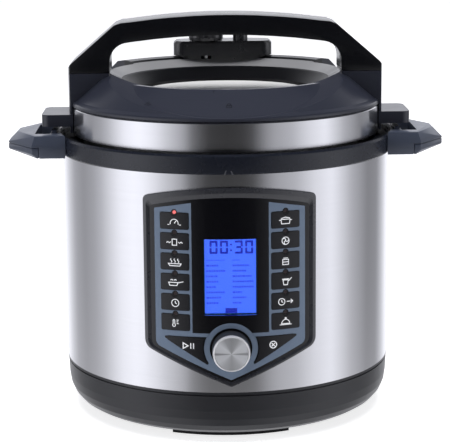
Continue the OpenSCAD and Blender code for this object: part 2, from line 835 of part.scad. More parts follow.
module gasket_rack() {
    clip_r = seal_in - 3;
    color(steel) {
        rotate_extrude() translate([rack_r, rack_z]) circle(r = rack_wire, $fn = 32);
        for (a = [0 : 60 : 300]) rotate([0, 0, a]) {
            block([clip_r, -2.5, rack_z - 0.6], [rack_r - 0.6, 2.5, rack_z + 0.6]);
            block([clip_r - 1, -2.5, rack_z - 0.6], [clip_r, 2.5, lid_z + 22.7]);
        }
    }
}

// Half plane profile of the cover; lift raises its inner edge.
module cover_ring(lift, edge) {
    rotate_extrude() polygon([
        [rim_r - 12.9, lid_z + 29.2], [rim_r - 12.2, lid_z + 31.6], [rim_r - 1.6, rim_z - 0.6], [rim_r, rim_z],
        [rim_r + 4 + lift, rim_z + lift], [skirt_r - 22, skirt_top + 13.4 + lift * 1.4],
        [skirt_r - 3.6, skirt_top + 4.4 + edge], [skirt_r - 0.7, skirt_top + 2.7 + edge],
        [skirt_r + 0.1, skirt_top + 1.6 + edge], [skirt_r + 0.1 - edge / 4, skirt_top + gap + edge / 8],
        [skirt_r - 5, skirt_top + gap + edge / 8], [skirt_r - 22, skirt_top + 9.4], [rim_r + 4, rim_z - 3.4],
        [rim_r - 3.4, rim_z - 3.4], [rim_r - 10.6, lid_z + 31], [rim_r - 11.1, lid_z + 29.2]
    ]);
}

// Low front, raised rear half and, between them, a shoulder that falls away in front of the legs.
module lid_cover() {
    front = -grip_d / 2;
    color(black) difference() {
        union() {
            cover_ring(0, 0);
            intersection() {
                cover_ring(deck_rise, 0.4);
                rotate([90, 0, 90]) translate([0, 0, -far]) linear_extrude(2 * far) polygon([
                    [front, far], [front, deck_z + 0.3], [-far, deck_z + 0.3 - 0.23 * (far + front)],
                    [-far, -far], [far, -far], [far, far]
                ]);
            }
            rear_deck();
            both_sides() leg_base();
        }
        translate([0, 0, lid_z]) linear_extrude(100) housing_plan(-3);
    }
}

// Crest behind the opening, round the lid's edge, that carries the valve housing.
module rear_deck() {
    rotate([0, 0, 90 - deck_half]) rotate_extrude(angle = 2 * deck_half) polygon([
        [rim_r + 7.5, deck_z - 5], [rim_r + 7.5, deck_z - 1], [rim_r + 12, deck_z + 1.8],
        [skirt_r - 20, deck_z + 2.6], [skirt_r - 13, deck_z + 1.6], [skirt_r - 6, deck_z - 4.4],
        [skirt_r - 2, deck_z - 13], [skirt_r - 1, skirt_top + 3], [skirt_r - 6, skirt_top + 4],
        [skirt_r - 12, skirt_top + 9], [skirt_r - 18, skirt_top + 15]
    ]);
}

// Foot of the handle: a hollow block on the cover that also reaches down beside the lid's band.
module leg_base() {
    half = grip_d / 2;
    difference() {
        intersection() {
            translate([0, half, 0]) rotate([90, 0, 0]) linear_extrude(grip_d) polygon([
                [grip_in + 0.5, rim_z - 1], [grip_in + 0.5, leg_z], [far, leg_z], [far, lid_z + 1.2],
                [skirt_r - 8, lid_z + 1.2], [skirt_r - 8, skirt_top + 3]
            ]);
            cylinder(r = grip_out, h = far);
        }
        cylinder(r = skirt_r + 0.4, h = skirt_top + 0.6);
        translate([0, half - 2.6, 0]) rotate([90, 0, 0]) linear_extrude(grip_d - 5.2) polygon([
            [grip_in + 3, rim_z], [grip_in + 3, leg_z + 1], [grip_out - 3.6, leg_z + 1],
            [grip_out - 3.6, skirt_top + 5], [skirt_r - 6, skirt_top + 5]
        ]);
    }
    for (y = [-12, 12]) translate([grip_screw_x, y, 0]) difference() {
        translate([0, 0, skirt_top + 4]) cylinder(r = 4, h = leg_z - skirt_top - 4);
        translate([0, 0, skirt_top + 6]) cylinder(r = 1.6, h = 60);
    }
    fin();
}

// Hollow fin with rounded corners that stands the lid up in a side handle's slot.
module fin() {
    fin_z = side_top + 5;
    fin_end = grip_out + fin_len;
    difference() {
        translate([0, 0, fin_z]) linear_extrude(fin_h) offset(r = 6, $fn = 48) offset(delta = -6)
            translate([skirt_r - 12, -fin_w / 2]) square([fin_end - skirt_r + 12, fin_w]);
        translate([0, 0, lid_z]) cylinder(r = skirt_r + 0.4, h = skirt_h);
        for (y = [-fin_w / 2 + 2.4, 1])
            block([grip_out + 2, y, fin_z - 1], [fin_end - 3, y + fin_w / 2 - 3.4, fin_z + fin_h - 2.4]);
    }
}

// Region under the handle's outer line, down to the legs' seam.
module grip_outer() {
    polygon(concat(
        [[grip_out, leg_z + gap], [grip_out, grip_knee_z - 5], [grip_out - 0.9, grip_knee_z - 2.2],
         [grip_out - 3.4, grip_knee_z + 0.8], [grip_slope_x, grip_slope_z], [grip_slope_x - 5, grip_slope_z + 1.8]],
        arch(crown_half, crown_z, crown_drop, 24),
        [[5 - grip_slope_x, grip_slope_z + 1.8], [-grip_slope_x, grip_slope_z], [3.4 - grip_out, grip_knee_z + 0.8],
         [0.9 - grip_out, grip_knee_z - 2.2], [-grip_out, grip_knee_z - 5], [-grip_out, leg_z + gap]]
    ));
}

// How far the crown of the handle has fallen at x.
function arch_drop(x) = crown_drop * pow(x / crown_half, 2);

// Opening under the handle, grown inwards by a margin.
module grip_opening(margin) {
    offset(delta = margin) offset(r = 15) offset(delta = -15) polygon(concat(
        [[grip_in, leg_z - 60]], arch(grip_in, grip_in_top, 7.2, 20), [[-grip_in, leg_z - 60]]
    ));
}

module lid_handle() {
    color(black) difference() {
        intersection() {
            middle_prism(grip_d) difference() {
                grip_outer();
                grip_opening(0);
            }
            cylinder(r = grip_out, h = far);
        }
        middle_prism(grip_d - 2 * grip_wall) intersection() {
            offset(delta = -grip_wall) grip_outer();
            translate([1 + grip_wall - grip_out, leg_z + grip_wall]) square([2 * (grip_out - grip_wall - 1), far]);
        }
        both_sides() for (y = [-12, 12]) translate([grip_screw_x, y, leg_z]) cylinder(r = 1.8, h = 4);
    }
    color(black) for (x = grip_bosses) difference() {
        translate([x, 0, grip_in_top + 0.5]) cylinder(r = 4, h = grip_t - 3 - arch_drop(x));
        translate([x, 0, grip_in_top - 1]) cylinder(r = 1.6, h = 9);
    }
}

module handle_underside() {
    color(navy) difference() {
        middle_prism(grip_d - 2 * grip_wall - 2 * gap) difference() {
            intersection() {
                difference() {
                    grip_opening(2.2);
                    grip_opening(0);
                }
                offset(delta = -grip_wall - gap) grip_outer();
            }
            translate([-far / 2, 0]) square([far, leg_z + 3]);
        }
        for (x = grip_bosses) translate([x, 0, grip_in_top - 12]) cylinder(r = 4.3, h = 30);
    }
}

module lid_screws() {
    color(steel) both_sides() for (y = [-12, 12])
        translate([grip_screw_x, y, leg_z + gap + grip_wall + 0.1]) {
            cylinder(r = 3.2, h = 2);
            translate([0, 0, -12]) cylinder(r = 1.5, h = 12 + eps);
        }
}

// ---------- valves ----------

// Plan of the valve housing: its rear follows the lid's edge.
module housing_plan(inset) {
    offset(r = 9) offset(delta = -9 + inset) intersection() {
        translate([-housing_half, housing_front]) square([2 * housing_half, 60]);
        circle(r = skirt_r - 2, $fn = 180);
    }
}

module valve_housing() {
    color(black) difference() {
        union() {
            translate([0, 0, deck_z - 9]) linear_extrude(housing_h + 9 - 2) housing_plan(-3.4);
            translate([0, 0, deck_z + 3.2]) linear_extrude(housing_h - 3.2 - 1.6) housing_plan(0);
            translate([0, 0, housing_top - 1.7]) linear_extrude(0.9) housing_plan(-0.7);
            translate([0, 0, housing_top - 0.9]) linear_extrude(0.9) housing_plan(-1.6);
            translate([float_x, valve_y, housing_top - 1]) cylinder(r = guard_r, h = 8.2);
        }
        translate([0, 0, deck_z - 10]) linear_extrude(housing_h + 10 - 2.6) housing_plan(-6);
        translate([valve_x, valve_y, deck_z]) cylinder(r = 8.2, h = 40);
        translate([float_x, valve_y, deck_z]) cylinder(r = float_r + 0.35, h = 40);
        translate([valve_x, valve_y, housing_top - 1]) cylinder(r = 11.6, h = 2);
    }
}

module steam_pipe() {
    color(steel) translate([valve_x, valve_y, 0]) difference() {
        union() {
            translate([0, 0, lid_z + 12]) cylinder(r = pipe_base_r, h = 18);
            translate([0, 0, lid_z + 26.8]) cylinder(r = 7, h = 3.6, $fn = 6);
            translate([0, 0, lid_z + 29]) cylinder(r = pipe_r, h = housing_top - 3 - lid_z - 29);
        }
        translate([0, 0, lid_z]) cylinder(r = 1.6, h = 100);
        for (z = [lid_z + 13.6 : 2.4 : lid_z + 17]) translate([0, 0, z]) rotate([0, 90, 0])
            cylinder(r = 0.7, h = 20, center = true, $fn = 24);
    }
}

module anti_block_shield() {
    color(steel) translate([valve_x, valve_y, lid_z + 9]) difference() {
        cylinder(r = shield_r, h = 12);
        translate([0, 0, 1.2]) cylinder(r = shield_r - 1, h = 20);
        for (a = [0 : 45 : 315]) arc_block(4.6, 12, 2.4, 9, a, 7);
    }
    color(steel) translate([valve_x, valve_y, lid_z + 19.8]) difference() {
        cylinder(r = shield_r, h = 1.2);
        translate([0, 0, -1]) cylinder(r = pipe_base_r + fit, h = 4);
    }
}

module steam_valve_knob() {
    low = deck_z + 3.4;
    cap = housing_top + 0.6;
    color(black) translate([valve_x, valve_y, 0]) difference() {
        union() {
            translate([0, 0, low]) cylinder(r = 7.6, h = cap - low + 1);
            translate([0, 0, cap]) cylinder(r1 = valve_r - 0.4, r2 = valve_r, h = 2.4);
            translate([0, 0, cap + 2.4 - eps]) cylinder(r = valve_r, h = 5.6);
            translate([0, 0, cap + 8 - 2 * eps]) cylinder(r1 = valve_r, r2 = valve_r - 1.4, h = 1.4);
            intersection() {
                block([-valve_r + 1.4, -3.6, cap + 8], [valve_r - 1.4, 3.6, cap + 17]);
                translate([0, 0, cap]) cylinder(r = valve_r - 1.2, h = 30);
            }
        }
        translate([0, 0, low - 1]) cylinder(r = pipe_r + fit, h = housing_top - 3 - low + 2);
        for (a = [0 : 20 : 340]) rotate([0, 0, a]) translate([valve_r + 0.5, 0, cap + 1.6])
            cylinder(r = 1, h = 7, $fn = 24);
    }
}

module float_pin() {
    color([0.75, 0.1, 0.1]) translate([float_x, valve_y, 0]) {
        translate([0, 0, lid_z + 9]) cylinder(r = float_r, h = housing_top + 3 - lid_z - 9);
        translate([0, 0, lid_z + 11]) cylinder(r = 5, h = 2.4);
        translate([0, 0, lid_z + 13.4 - eps]) cylinder(r1 = 5, r2 = float_r, h = 1.6);
        translate([0, 0, lid_z + 29]) cylinder(r = 4.4, h = 1.4);
    }
}

// Plate beside the float: the raised pin holds it so that the lid stays locked.
module float_lock_plate() {
    z = lid_z + 26.7;
    color(steel) difference() {
        block([float_x - 8, valve_y - 7, z], [float_x + 17, valve_y + 7, z + 1.4]);
        hull() for (x = [-1, 3.5]) translate([float_x + x, valve_y, z - 1]) cylinder(r = 4, h = 4, $fn = 32);
    }
    color(steel) block([float_x + 15.6, valve_y - 7, z + 1.4 - eps], [float_x + 17, valve_y + 7, z + 6]);
}

// ---------- condensation cup ----------

module cup_bracket() {
    y0 = shell_r - 6;
    color(black) difference() {
        union() {
            block([-cup_w / 2 - 6, y0, cup_top - 8], [cup_w / 2 + 6, cup_y, cup_top + 11]);
            block([-cup_w / 2 - 6, y0, cup_top + 5], [cup_w / 2 + 6, cup_y + cup_d, cup_top + 8]);
            both_sides() {
                block([cup_w / 2 + 3.6, y0, cup_top - 3.6], [cup_w / 2 + 6, cup_y + cup_d, cup_top + 5 + eps]);
                block([cup_w / 2 + 0.6, y0, cup_top - 3.6], [cup_w / 2 + 6, cup_y + cup_d, cup_top - 1.8]);
            }
        }
        translate([0, 0, -1]) cylinder(r = shell_r + gap, h = far);
        translate([0, cup_y + cup_d / 2, cup_top]) cylinder(r = 3, h = 30);
        for (x = [-14, 14]) translate([x, shell_r - 10, cup_top + 1]) rotate([-90, 0, 0]) cylinder(r = 1.5, h = 13);
    }
}

module condensation_cup() {
    y0 = cup_y + 0.6;
    y1 = cup_y + cup_d;
    color([0.85, 0.9, 0.95, 0.6]) {
        difference() {
            hull() {
                block([-cup_w / 2, y0, cup_top - 6], [cup_w / 2, y1, cup_top + 1.6]);
                block([-cup_w / 2 + 2, y0 + 0.4, cup_top - cup_h], [cup_w / 2 - 2, y1 - 3, cup_top - cup_h + 4]);
            }
            hull() {
                block([-cup_w / 2 + cup_wall, y0 + cup_wall, cup_top - 6],
                      [cup_w / 2 - cup_wall, y1 - cup_wall, cup_top + 3]);
                block([-cup_w / 2 + 2 + cup_wall, y0 + 0.4 + cup_wall, cup_top - cup_h + cup_wall],
                      [cup_w / 2 - 2 - cup_wall, y1 - 3 - cup_wall, cup_top - cup_h + 4]);
            }
        }
        both_sides() block([cup_w / 2 - eps, y0, cup_top - 0.8], [cup_w / 2 + 2.8, y1, cup_top + 1.6]);
    }
}

// ---------- drawing ----------

base_housing();
base_plate();
rubber_feet();
base_screws();
power_inlet();
power_board();
outer_shell();
top_ring();
side_handle_left();
side_handle_right();
handle_cover_left();
handle_cover_right();
handle_screws();
outer_pot();
heating_plate();
heating_element();
sensor_bracket();
pressure_switch();
sensor_plunger();
sensor_spring();
control_bezel();
panel_overlay();
display_window();
display_module();
display_board();
key_boards();
indicator_lights();
rotary_encoder();
control_knob();
knob_cap();
key_1();
key_2();
key_3();
key_4();
key_5();
key_6();
key_7();
key_8();
key_9();
key_10();
key_11();
key_12();
start_key();
cancel_key();
cup_bracket();
condensation_cup();
inner_pot();
sealing_ring();
steel_lid();
gasket_rack();
lid_cover();
lid_handle();
handle_underside();
lid_screws();
valve_housing();
steam_pipe();
anti_block_shield();
steam_valve_knob();
float_pin();
float_lock_plate();
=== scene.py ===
import math

import bmesh
import bpy
from mathutils import Matrix, Vector
from mathutils.bvhtree import BVHTree


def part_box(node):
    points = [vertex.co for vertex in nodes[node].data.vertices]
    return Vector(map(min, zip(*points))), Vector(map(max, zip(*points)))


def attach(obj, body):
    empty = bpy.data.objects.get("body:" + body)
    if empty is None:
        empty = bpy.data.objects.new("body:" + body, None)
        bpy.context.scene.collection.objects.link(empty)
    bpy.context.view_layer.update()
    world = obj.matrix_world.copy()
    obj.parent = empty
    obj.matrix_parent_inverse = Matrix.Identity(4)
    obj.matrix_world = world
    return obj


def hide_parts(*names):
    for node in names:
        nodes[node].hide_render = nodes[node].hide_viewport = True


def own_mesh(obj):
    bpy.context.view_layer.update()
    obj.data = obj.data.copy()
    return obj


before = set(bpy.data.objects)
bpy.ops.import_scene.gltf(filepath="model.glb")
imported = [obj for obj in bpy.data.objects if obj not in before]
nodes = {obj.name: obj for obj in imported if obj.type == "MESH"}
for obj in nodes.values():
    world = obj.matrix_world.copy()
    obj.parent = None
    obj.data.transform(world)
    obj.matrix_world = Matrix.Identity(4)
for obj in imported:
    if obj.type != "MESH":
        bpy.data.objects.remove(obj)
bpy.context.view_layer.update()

# ---------------------------------------- camera
# The viewer stands 1.3 metres in front of the cooker, a little left of its middle, and looks down
# on it. The frame is 450 by 442 pixels, and the lens is a long one.
FOCAL_PX = 1682.0
FRAME_W = 450.0
MIDDLE_PX = 226.3
SENSOR_MM = 36.0
VIEW_DISTANCE = 1.2855
VIEW_HEIGHT = 0.3961
VIEW_TURN = math.radians(-1.2)
VIEW_PITCH = math.radians(11.30)
VIEW_ROLL = -0.0085

camera_data = bpy.data.cameras.new("camera")
camera_data.sensor_width = SENSOR_MM
camera_data.lens = FOCAL_PX * SENSOR_MM / FRAME_W
camera_data.shift_x = (FRAME_W / 2 - MIDDLE_PX) / FRAME_W
camera_data.clip_start = 0.05
camera_data.clip_end = 100
camera_data.dof.use_dof = False
camera = bpy.data.objects.new("camera", camera_data)
bpy.context.scene.collection.objects.link(camera)
camera.matrix_world = (
    Matrix.Rotation(VIEW_TURN, 4, "Z")
    @ Matrix.Translation((0, -VIEW_DISTANCE, VIEW_HEIGHT))
    @ Matrix.Rotation(math.pi / 2 - VIEW_PITCH, 4, "X")
    @ Matrix.Rotation(VIEW_ROLL, 4, "Z")
)
bpy.context.scene.camera = camera
bpy.context.scene.view_settings.view_transform = "Standard"


# ---------------------------------------- base housing
# The tapered foot of the cooker is one moulding of black plastic with a fine spark-eroded grain.
# Its floor is a vented plate of the same plastic, held by four screws.
def feed(tree, node, values):
    """Gives a node its inputs: a socket is linked, and anything else is set as a plain value."""
    for key, value in values.items():
        if isinstance(value, bpy.types.NodeSocket):
            tree.links.new(value, node.inputs[key])
        else:
            node.inputs[key].default_value = value


def put(tree, kind, values=None, **settings):
    """One node in a tree: settings are its properties, and values its inputs."""
    node = tree.nodes.new(kind)
    for name, value in settings.items():
        setattr(node, name, value)
    feed(tree, node, values or {})
    return node


def maths(tree, operation, *values):
    """The result of one sum on numbers or sockets."""
    return put(tree, "ShaderNodeMath", dict(enumerate(values)), operation=operation).outputs[0]


def mix_colours(tree, share, first, second, how="MIX"):
    """The first colour where the share is 0, and the second where it is 1."""
    values = {"Factor": share, 6: first, 7: second}
    return put(tree, "ShaderNodeMix", values, data_type="RGBA", blend_type=how).outputs[2]


def place_in(tree):
    """Where a point of the surface lies, in the cooker's own frame."""
    return put(tree, "ShaderNodeTexCoord").outputs["Object"]


SOCKETS = {"colour": "NodeSocketColor", "value": "NodeSocketFloat", "vector": "NodeSocketVector"}


def shader_group(name, takes, gives):
    """An empty shader node group with named inputs and outputs, with its two end nodes."""
    tree = bpy.data.node_groups.new(name, "ShaderNodeTree")
    for label, (kind, default) in takes.items():
        socket = tree.interface.new_socket(label, in_out="INPUT", socket_type=SOCKETS[kind])
        if default is not None:
            socket.default_value = default
    for label, kind in gives.items():
        tree.interface.new_socket(label, in_out="OUTPUT", socket_type=SOCKETS[kind])
    return tree, tree.nodes.new("NodeGroupInput"), tree.nodes.new("NodeGroupOutput")


CLOUDS_PER_METRE, PATCHES_PER_METRE = 28.0, 130.0
CLOUD_TINT = (0.25, 0.27, 0.32, 1)


def moulded_grain():
    """Moulded plastic: faint clouds in its colour and gloss, and a fine even grain."""
    tree, given, out = shader_group(
        "moulded grain",
        {
            "Colour": ("colour", (0.02, 0.02, 0.02, 1)),
            "Cloudiness": ("value", 0.15),
            "Roughness": ("value", 0.4),
            "Gloss change": ("value", 0.08),
            "Grain per metre": ("value", 1800.0),
        },
        {"Colour": "colour", "Roughness": "value", "Height": "value"},
    )
    place = place_in(tree)
    clouds, patches, grain = (
        put(tree, "ShaderNodeTexNoise", {"Vector": place, "Scale": scale, "Detail": detail}).outputs["Fac"]
        for scale, detail in (
            (CLOUDS_PER_METRE, 3.0), (PATCHES_PER_METRE, 4.0), (given.outputs["Grain per metre"], 2.0),
        )
    )
    lift = maths(tree, "MULTIPLY", clouds, given.outputs["Cloudiness"])
    change = maths(tree, "MULTIPLY", maths(tree, "SUBTRACT", patches, 0.5), given.outputs["Gloss change"])
    feed(tree, out, {
        "Colour": mix_colours(tree, lift, given.outputs["Colour"], CLOUD_TINT),
        "Roughness": maths(tree, "ADD", change, given.outputs["Roughness"]),
        "Height": grain,
    })
    return tree


GRAIN = moulded_grain()


def new_material(name, **constants):
    """A material with its shader's own sockets set; underscores in a name stand for spaces."""
    material = bpy.data.materials.new(name)
    material.use_nodes = True
    shader = material.node_tree.nodes["Principled BSDF"]
    for key, value in constants.items():
        shader.inputs[key.replace("_", " ")].default_value = value
    return material, material.node_tree, shader


def raise_surface(tree, shader, height, depth):
    """Feeds a height, in a depth of metres, to the shader's normal."""
    bump = put(tree, "ShaderNodeBump", {"Height": height, "Strength": 1.0, "Distance": depth})
    feed(tree, shader, {"Normal": bump.outputs["Normal"]})


def plastic(name, colour, roughness, cloudiness=0.03, grain=1800.0, depth=0.00002, **constants):
    """Moulded plastic. Without clouds its colour is the same all over, and is set plainly."""
    material, tree, shader = new_material(name, **constants)
    finish = put(tree, "ShaderNodeGroup", {
        "Colour": (*colour, 1), "Roughness": roughness, "Cloudiness": cloudiness, "Grain per metre": grain,
    }, node_tree=GRAIN)
    feed(tree, shader, {
        "Base Color": finish.outputs["Colour"] if cloudiness else (*colour, 1),
        "Roughness": finish.outputs["Roughness"],
    })
    raise_surface(tree, shader, finish.outputs["Height"], depth)
    return material


JOINED_WITHIN = 0.000004
SMOOTH_BELOW = math.radians(32)
FLAT_WITHIN = math.radians(1.0)
SHARP_FROM = math.radians(38)


def edge_softener():
    """Geometry nodes that join the split faces of a CAD node and shade it smooth up to an angle."""
    tree = bpy.data.node_groups.new("joined and smooth", "GeometryNodeTree")
    tree.interface.new_socket("Geometry", in_out="INPUT", socket_type="NodeSocketGeometry")
    tree.interface.new_socket("Geometry", in_out="OUTPUT", socket_type="NodeSocketGeometry")
    given, out = tree.nodes.new("NodeGroupInput"), tree.nodes.new("NodeGroupOutput")
    joined = put(tree, "GeometryNodeMergeByDistance", {
        "Geometry": given.outputs[0], "Distance": JOINED_WITHIN,
    })
    angle = put(tree, "GeometryNodeInputMeshEdgeAngle")
    shallow = put(tree, "FunctionNodeCompare", {"A": angle.outputs["Unsigned Angle"], "B": SMOOTH_BELOW},
                  data_type="FLOAT", operation="LESS_THAN")
    faces = put(tree, "GeometryNodeSetShadeSmooth", {"Geometry": joined.outputs[0], "Shade Smooth": True},
                domain="FACE")
    edges = put(tree, "GeometryNodeSetShadeSmooth", {
        "Geometry": faces.outputs[0], "Shade Smooth": shallow.outputs["Result"],
    }, domain="EDGE")
    tree.links.new(edges.outputs[0], out.inputs[0])
    return tree


SOFTENER = edge_softener()


def dress(material, *names, edge=0.0):
    """Gives CAD nodes their finish and, where edge is set, a small round along their sharp edges."""
    for name in names:
        node = nodes[name]
        node.data.materials.clear()
        node.data.materials.append(material)
        if not edge:
            continue
        if "custom_normal" in node.data.attributes:
            node.data.attributes.remove(node.data.attributes["custom_normal"])
        joined = node.modifiers.new("joined", "NODES")
        joined.node_group = SOFTENER
        flat = node.modifiers.new("flat faces", "DECIMATE")
        flat.decimate_type = "DISSOLVE"
        flat.angle_limit = FLAT_WITHIN
        rounded = node.modifiers.new("rounded edges", "BEVEL")
        rounded.width = edge
        rounded.segments = 3
        rounded.limit_method = "ANGLE"
        rounded.angle_limit = SHARP_FROM
        rounded.use_clamp_overlap = True
        rounded.miter_outer = "MITER_ARC"
        smooth = node.modifiers.new("smooth", "NODES")
        smooth.node_group = SOFTENER


black_plastic = plastic("black base plastic", (0.013, 0.0135, 0.018), 0.34)
dress(black_plastic, "base_housing", "base_plate")

# ---------------------------------------- feet
# Four arcs of soft black rubber keep the cooker from sliding. Each is moulded, and pressed into the
# underside of the base.
rubber = plastic("foot rubber", (0.018, 0.018, 0.019), 0.75, cloudiness=0.05, grain=900.0, depth=0.00004,
                 Specular_IOR_Level=0.3)
dress(rubber, "rubber_feet")


# ---------------------------------------- screws and small bright fittings
# The screws, the sensor's bracket, the encoder and the lock plate are steel with bright zinc plating.
# They are turned or pressed, which leaves faint lines under the plating.
LINE_SHADOW = (0.12, 0.12, 0.13, 1)


def turned_lines():
    """Fine lines round the cooker's axis, in a metal's colour, its gloss and its height."""
    tree, given, out = shader_group(
        "turned lines",
        {
            "Lines per metre": ("value", 2200.0),
            "Colour": ("colour", (0.7, 0.7, 0.72, 1)),
            "Shade": ("value", 0.1),
            "Roughness": ("value", 0.25),
            "Gloss change": ("value", 0.1),
        },
        {"Colour": "colour", "Roughness": "value", "Height": "value"},
    )
    spot = put(tree, "ShaderNodeSeparateXYZ", {0: place_in(tree)}).outputs
    flat = put(tree, "ShaderNodeCombineXYZ", {0: spot["X"], 1: spot["Y"]}).outputs[0]
    radius = put(tree, "ShaderNodeVectorMath", {0: flat}, operation="LENGTH").outputs["Value"]
    unit = put(tree, "ShaderNodeVectorMath", {0: flat}, operation="NORMALIZE").outputs[0]
    around = put(tree, "ShaderNodeSeparateXYZ", {0: unit}).outputs
    line = maths(tree, "MULTIPLY", maths(tree, "ADD", spot["Z"], radius), given.outputs["Lines per metre"])
    stretched = put(tree, "ShaderNodeCombineXYZ", {0: around["X"], 1: around["Y"], 2: line}).outputs[0]
    fine = put(tree, "ShaderNodeTexNoise", {
        "Vector": stretched, "Scale": 1.0, "Detail": 4.0, "Roughness": 0.7,
    }).outputs["Fac"]
    change = maths(tree, "MULTIPLY", maths(tree, "SUBTRACT", fine, 0.5), given.outputs["Gloss change"])
    shade = maths(tree, "MULTIPLY", fine, given.outputs["Shade"])
    feed(tree, out, {
        "Colour": mix_colours(tree, shade, given.outputs["Colour"], LINE_SHADOW),
        "Roughness": maths(tree, "ADD", change, given.outputs["Roughness"]),
        "Height": fine,
    })
    return tree


LINES = turned_lines()


def metal(name, colour, roughness, lines=2200.0, shade=0.1, change=0.1, depth=0.000004, **constants):
    """Turned, brushed or drawn metal, with its lines round the cooker's axis."""
    material, tree, shader = new_material(name, **{"Metallic": 1.0, **constants})
    finish = put(tree, "ShaderNodeGroup", {
        "Colour": (*colour, 1), "Lines per metre": lines, "Shade": shade, "Roughness": roughness,
        "Gloss change": change,
    }, node_tree=LINES)
    feed(tree, shader, {"Base Color": finish.outputs["Colour"], "Roughness": finish.outputs["Roughness"]})
    raise_surface(tree, shader, finish.outputs["Height"], depth)
    return material


plated_steel = metal("plated steel", (0.72, 0.72, 0.74), 0.22, lines=3000.0)
dress(plated_steel, "base_screws", "handle_screws", "lid_screws", "sensor_bracket", "rotary_encoder",
      "float_lock_plate")


# ---------------------------------------- power inlet
# The socket for the lead is a black moulding with three brass blades, and is pushed into the base
# from the rear until it clips.
def inside_box():
    """1 inside a box of the cooker's own frame, and 0 outside it."""
    tree, given, out = shader_group(
        "inside box", {"Low": ("vector", None), "High": ("vector", None)}, {"Mask": "value"},
    )
    spot, low, high = (
        put(tree, "ShaderNodeSeparateXYZ", {0: socket}).outputs
        for socket in (place_in(tree), given.outputs["Low"], given.outputs["High"])
    )
    mask = 1.0
    for axis in "XYZ":
        above = maths(tree, "GREATER_THAN", spot[axis], low[axis])
        below = maths(tree, "LESS_THAN", spot[axis], high[axis])
        mask = maths(tree, "MULTIPLY", mask, maths(tree, "MULTIPLY", above, below))
    feed(tree, out, {"Mask": mask})
    return tree


BOX = inside_box()


def box_mask(tree, low, high):
    return put(tree, "ShaderNodeGroup", {"Low": low, "High": high}, node_tree=BOX).outputs["Mask"]


def between_radii():
    """1 between two distances from the cooker's own axis, and 0 outside them."""
    tree, given, out = shader_group(
        "between radii", {"Inner": ("value", 0.0), "Outer": ("value", 1.0)}, {"Mask": "value"},
    )
    flat = put(tree, "ShaderNodeVectorMath", {0: place_in(tree), 1: (1, 1, 0)}, operation="MULTIPLY")
    away = put(tree, "ShaderNodeVectorMath", {0: flat.outputs[0]}, operation="LENGTH").outputs["Value"]
    past = maths(tree, "GREATER_THAN", away, given.outputs["Inner"])
    within = maths(tree, "LESS_THAN", away, given.outputs["Outer"])
    feed(tree, out, {"Mask": maths(tree, "MULTIPLY", past, within)})
    return tree


RADII = between_radii()


def radius_mask(tree, inner, outer):
    return put(tree, "ShaderNodeGroup", {"Inner": inner, "Outer": outer}, node_tree=RADII).outputs["Mask"]


def held_by(shader, name):
    """What a shader's input holds so far: the socket that feeds it, or its own plain value."""
    socket = shader.inputs[name]
    return socket.links[0].from_socket if socket.is_linked else socket.default_value


def paint(material, mask, colour, roughness=None):
    """Changes a material's colour, and its roughness if one is given, where a mask is 1."""
    tree = material.node_tree
    shader = tree.nodes["Principled BSDF"]
    before = held_by(shader, "Base Color")
    feed(tree, shader, {"Base Color": mix_colours(tree, mask, before, (*colour, 1))})
    if roughness is not None:
        before = held_by(shader, "Roughness")
        mixed = put(tree, "ShaderNodeMix", {"Factor": mask, "A": before, "B": roughness})
        feed(tree, shader, {"Roughness": mixed.outputs[0]})


MM = 0.001
# The blades' places from the inlet's middle, in millimetres, and how far in from its rear they start
# and end, in metres.
BLADES = ((-7, -1.6), (7, -1.6), (0, 2.6))
BLADE_HALF_W, BLADE_HALF_H = 1.05, 2.05
BLADE_ROOT, BLADE_TIP = 0.0189, 0.0040
BRASS = (0.62, 0.44, 0.19)
inlet_low, inlet_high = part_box("power_inlet")
inlet_mid = (inlet_low.z + inlet_high.z) / 2
inlet_plastic = plastic("inlet plastic", (0.02, 0.02, 0.021), 0.5)
for across, up in BLADES:
    low, high = (
        ((across + way * BLADE_HALF_W) * MM, inlet_high.y - depth, inlet_mid + (up + way * BLADE_HALF_H) * MM)
        for way, depth in ((-1, BLADE_ROOT), (1, BLADE_TIP))
    )
    paint(inlet_plastic, box_mask(inlet_plastic.node_tree, low, high), BRASS, 0.3)
dress(inlet_plastic, "power_inlet")

# ---------------------------------------- circuit boards
# The boards are green glass fibre with copper tracks under the lacquer. The power board lies in the
# base, and the display and key boards stand behind the panel.
LACQUER_GREENS = (0.01, 0.10, 0.045, 1), (0.015, 0.14, 0.06, 1)
TRACK_GREEN = (0.05, 0.26, 0.10, 1)
board_green, board_tree, board_shader = new_material("circuit board", Roughness=0.35)
tracks = put(board_tree, "ShaderNodeTexBrick", {
    "Vector": place_in(board_tree), "Color1": LACQUER_GREENS[0], "Color2": LACQUER_GREENS[1],
    "Mortar": TRACK_GREEN, "Scale": 90.0, "Mortar Size": 0.03,
})
feed(board_tree, board_shader, {"Base Color": tracks.outputs["Color"]})
raise_surface(board_tree, board_shader, tracks.outputs["Fac"], 0.00003)
dress(board_green, "power_board", "display_board", "key_boards")


# ---------------------------------------- outer shell
# The body's skin is a rolled tube of stainless steel, brushed round its axis. It stands in the base,
# and the ring closes it at the top.
def brush_round(material, axis="Z"):
    """Stretches the highlights of a metal across its lines, which go round the named axis."""
    tree = material.node_tree
    along = put(tree, "ShaderNodeTangent", direction_type="RADIAL", axis=axis)
    feed(tree, tree.nodes["Principled BSDF"], {"Tangent": along.outputs[0]})


def brushed(name):
    """Stainless steel with fine lines brushed round the cooker."""
    steel = metal(name, (0.72, 0.72, 0.745), 0.18, lines=2600.0, shade=0.10, change=0.07, depth=0.000003,
                  Anisotropic=0.85, Anisotropic_Rotation=0.25)
    brush_round(steel)
    return steel


dress(brushed("brushed steel"), "outer_shell")

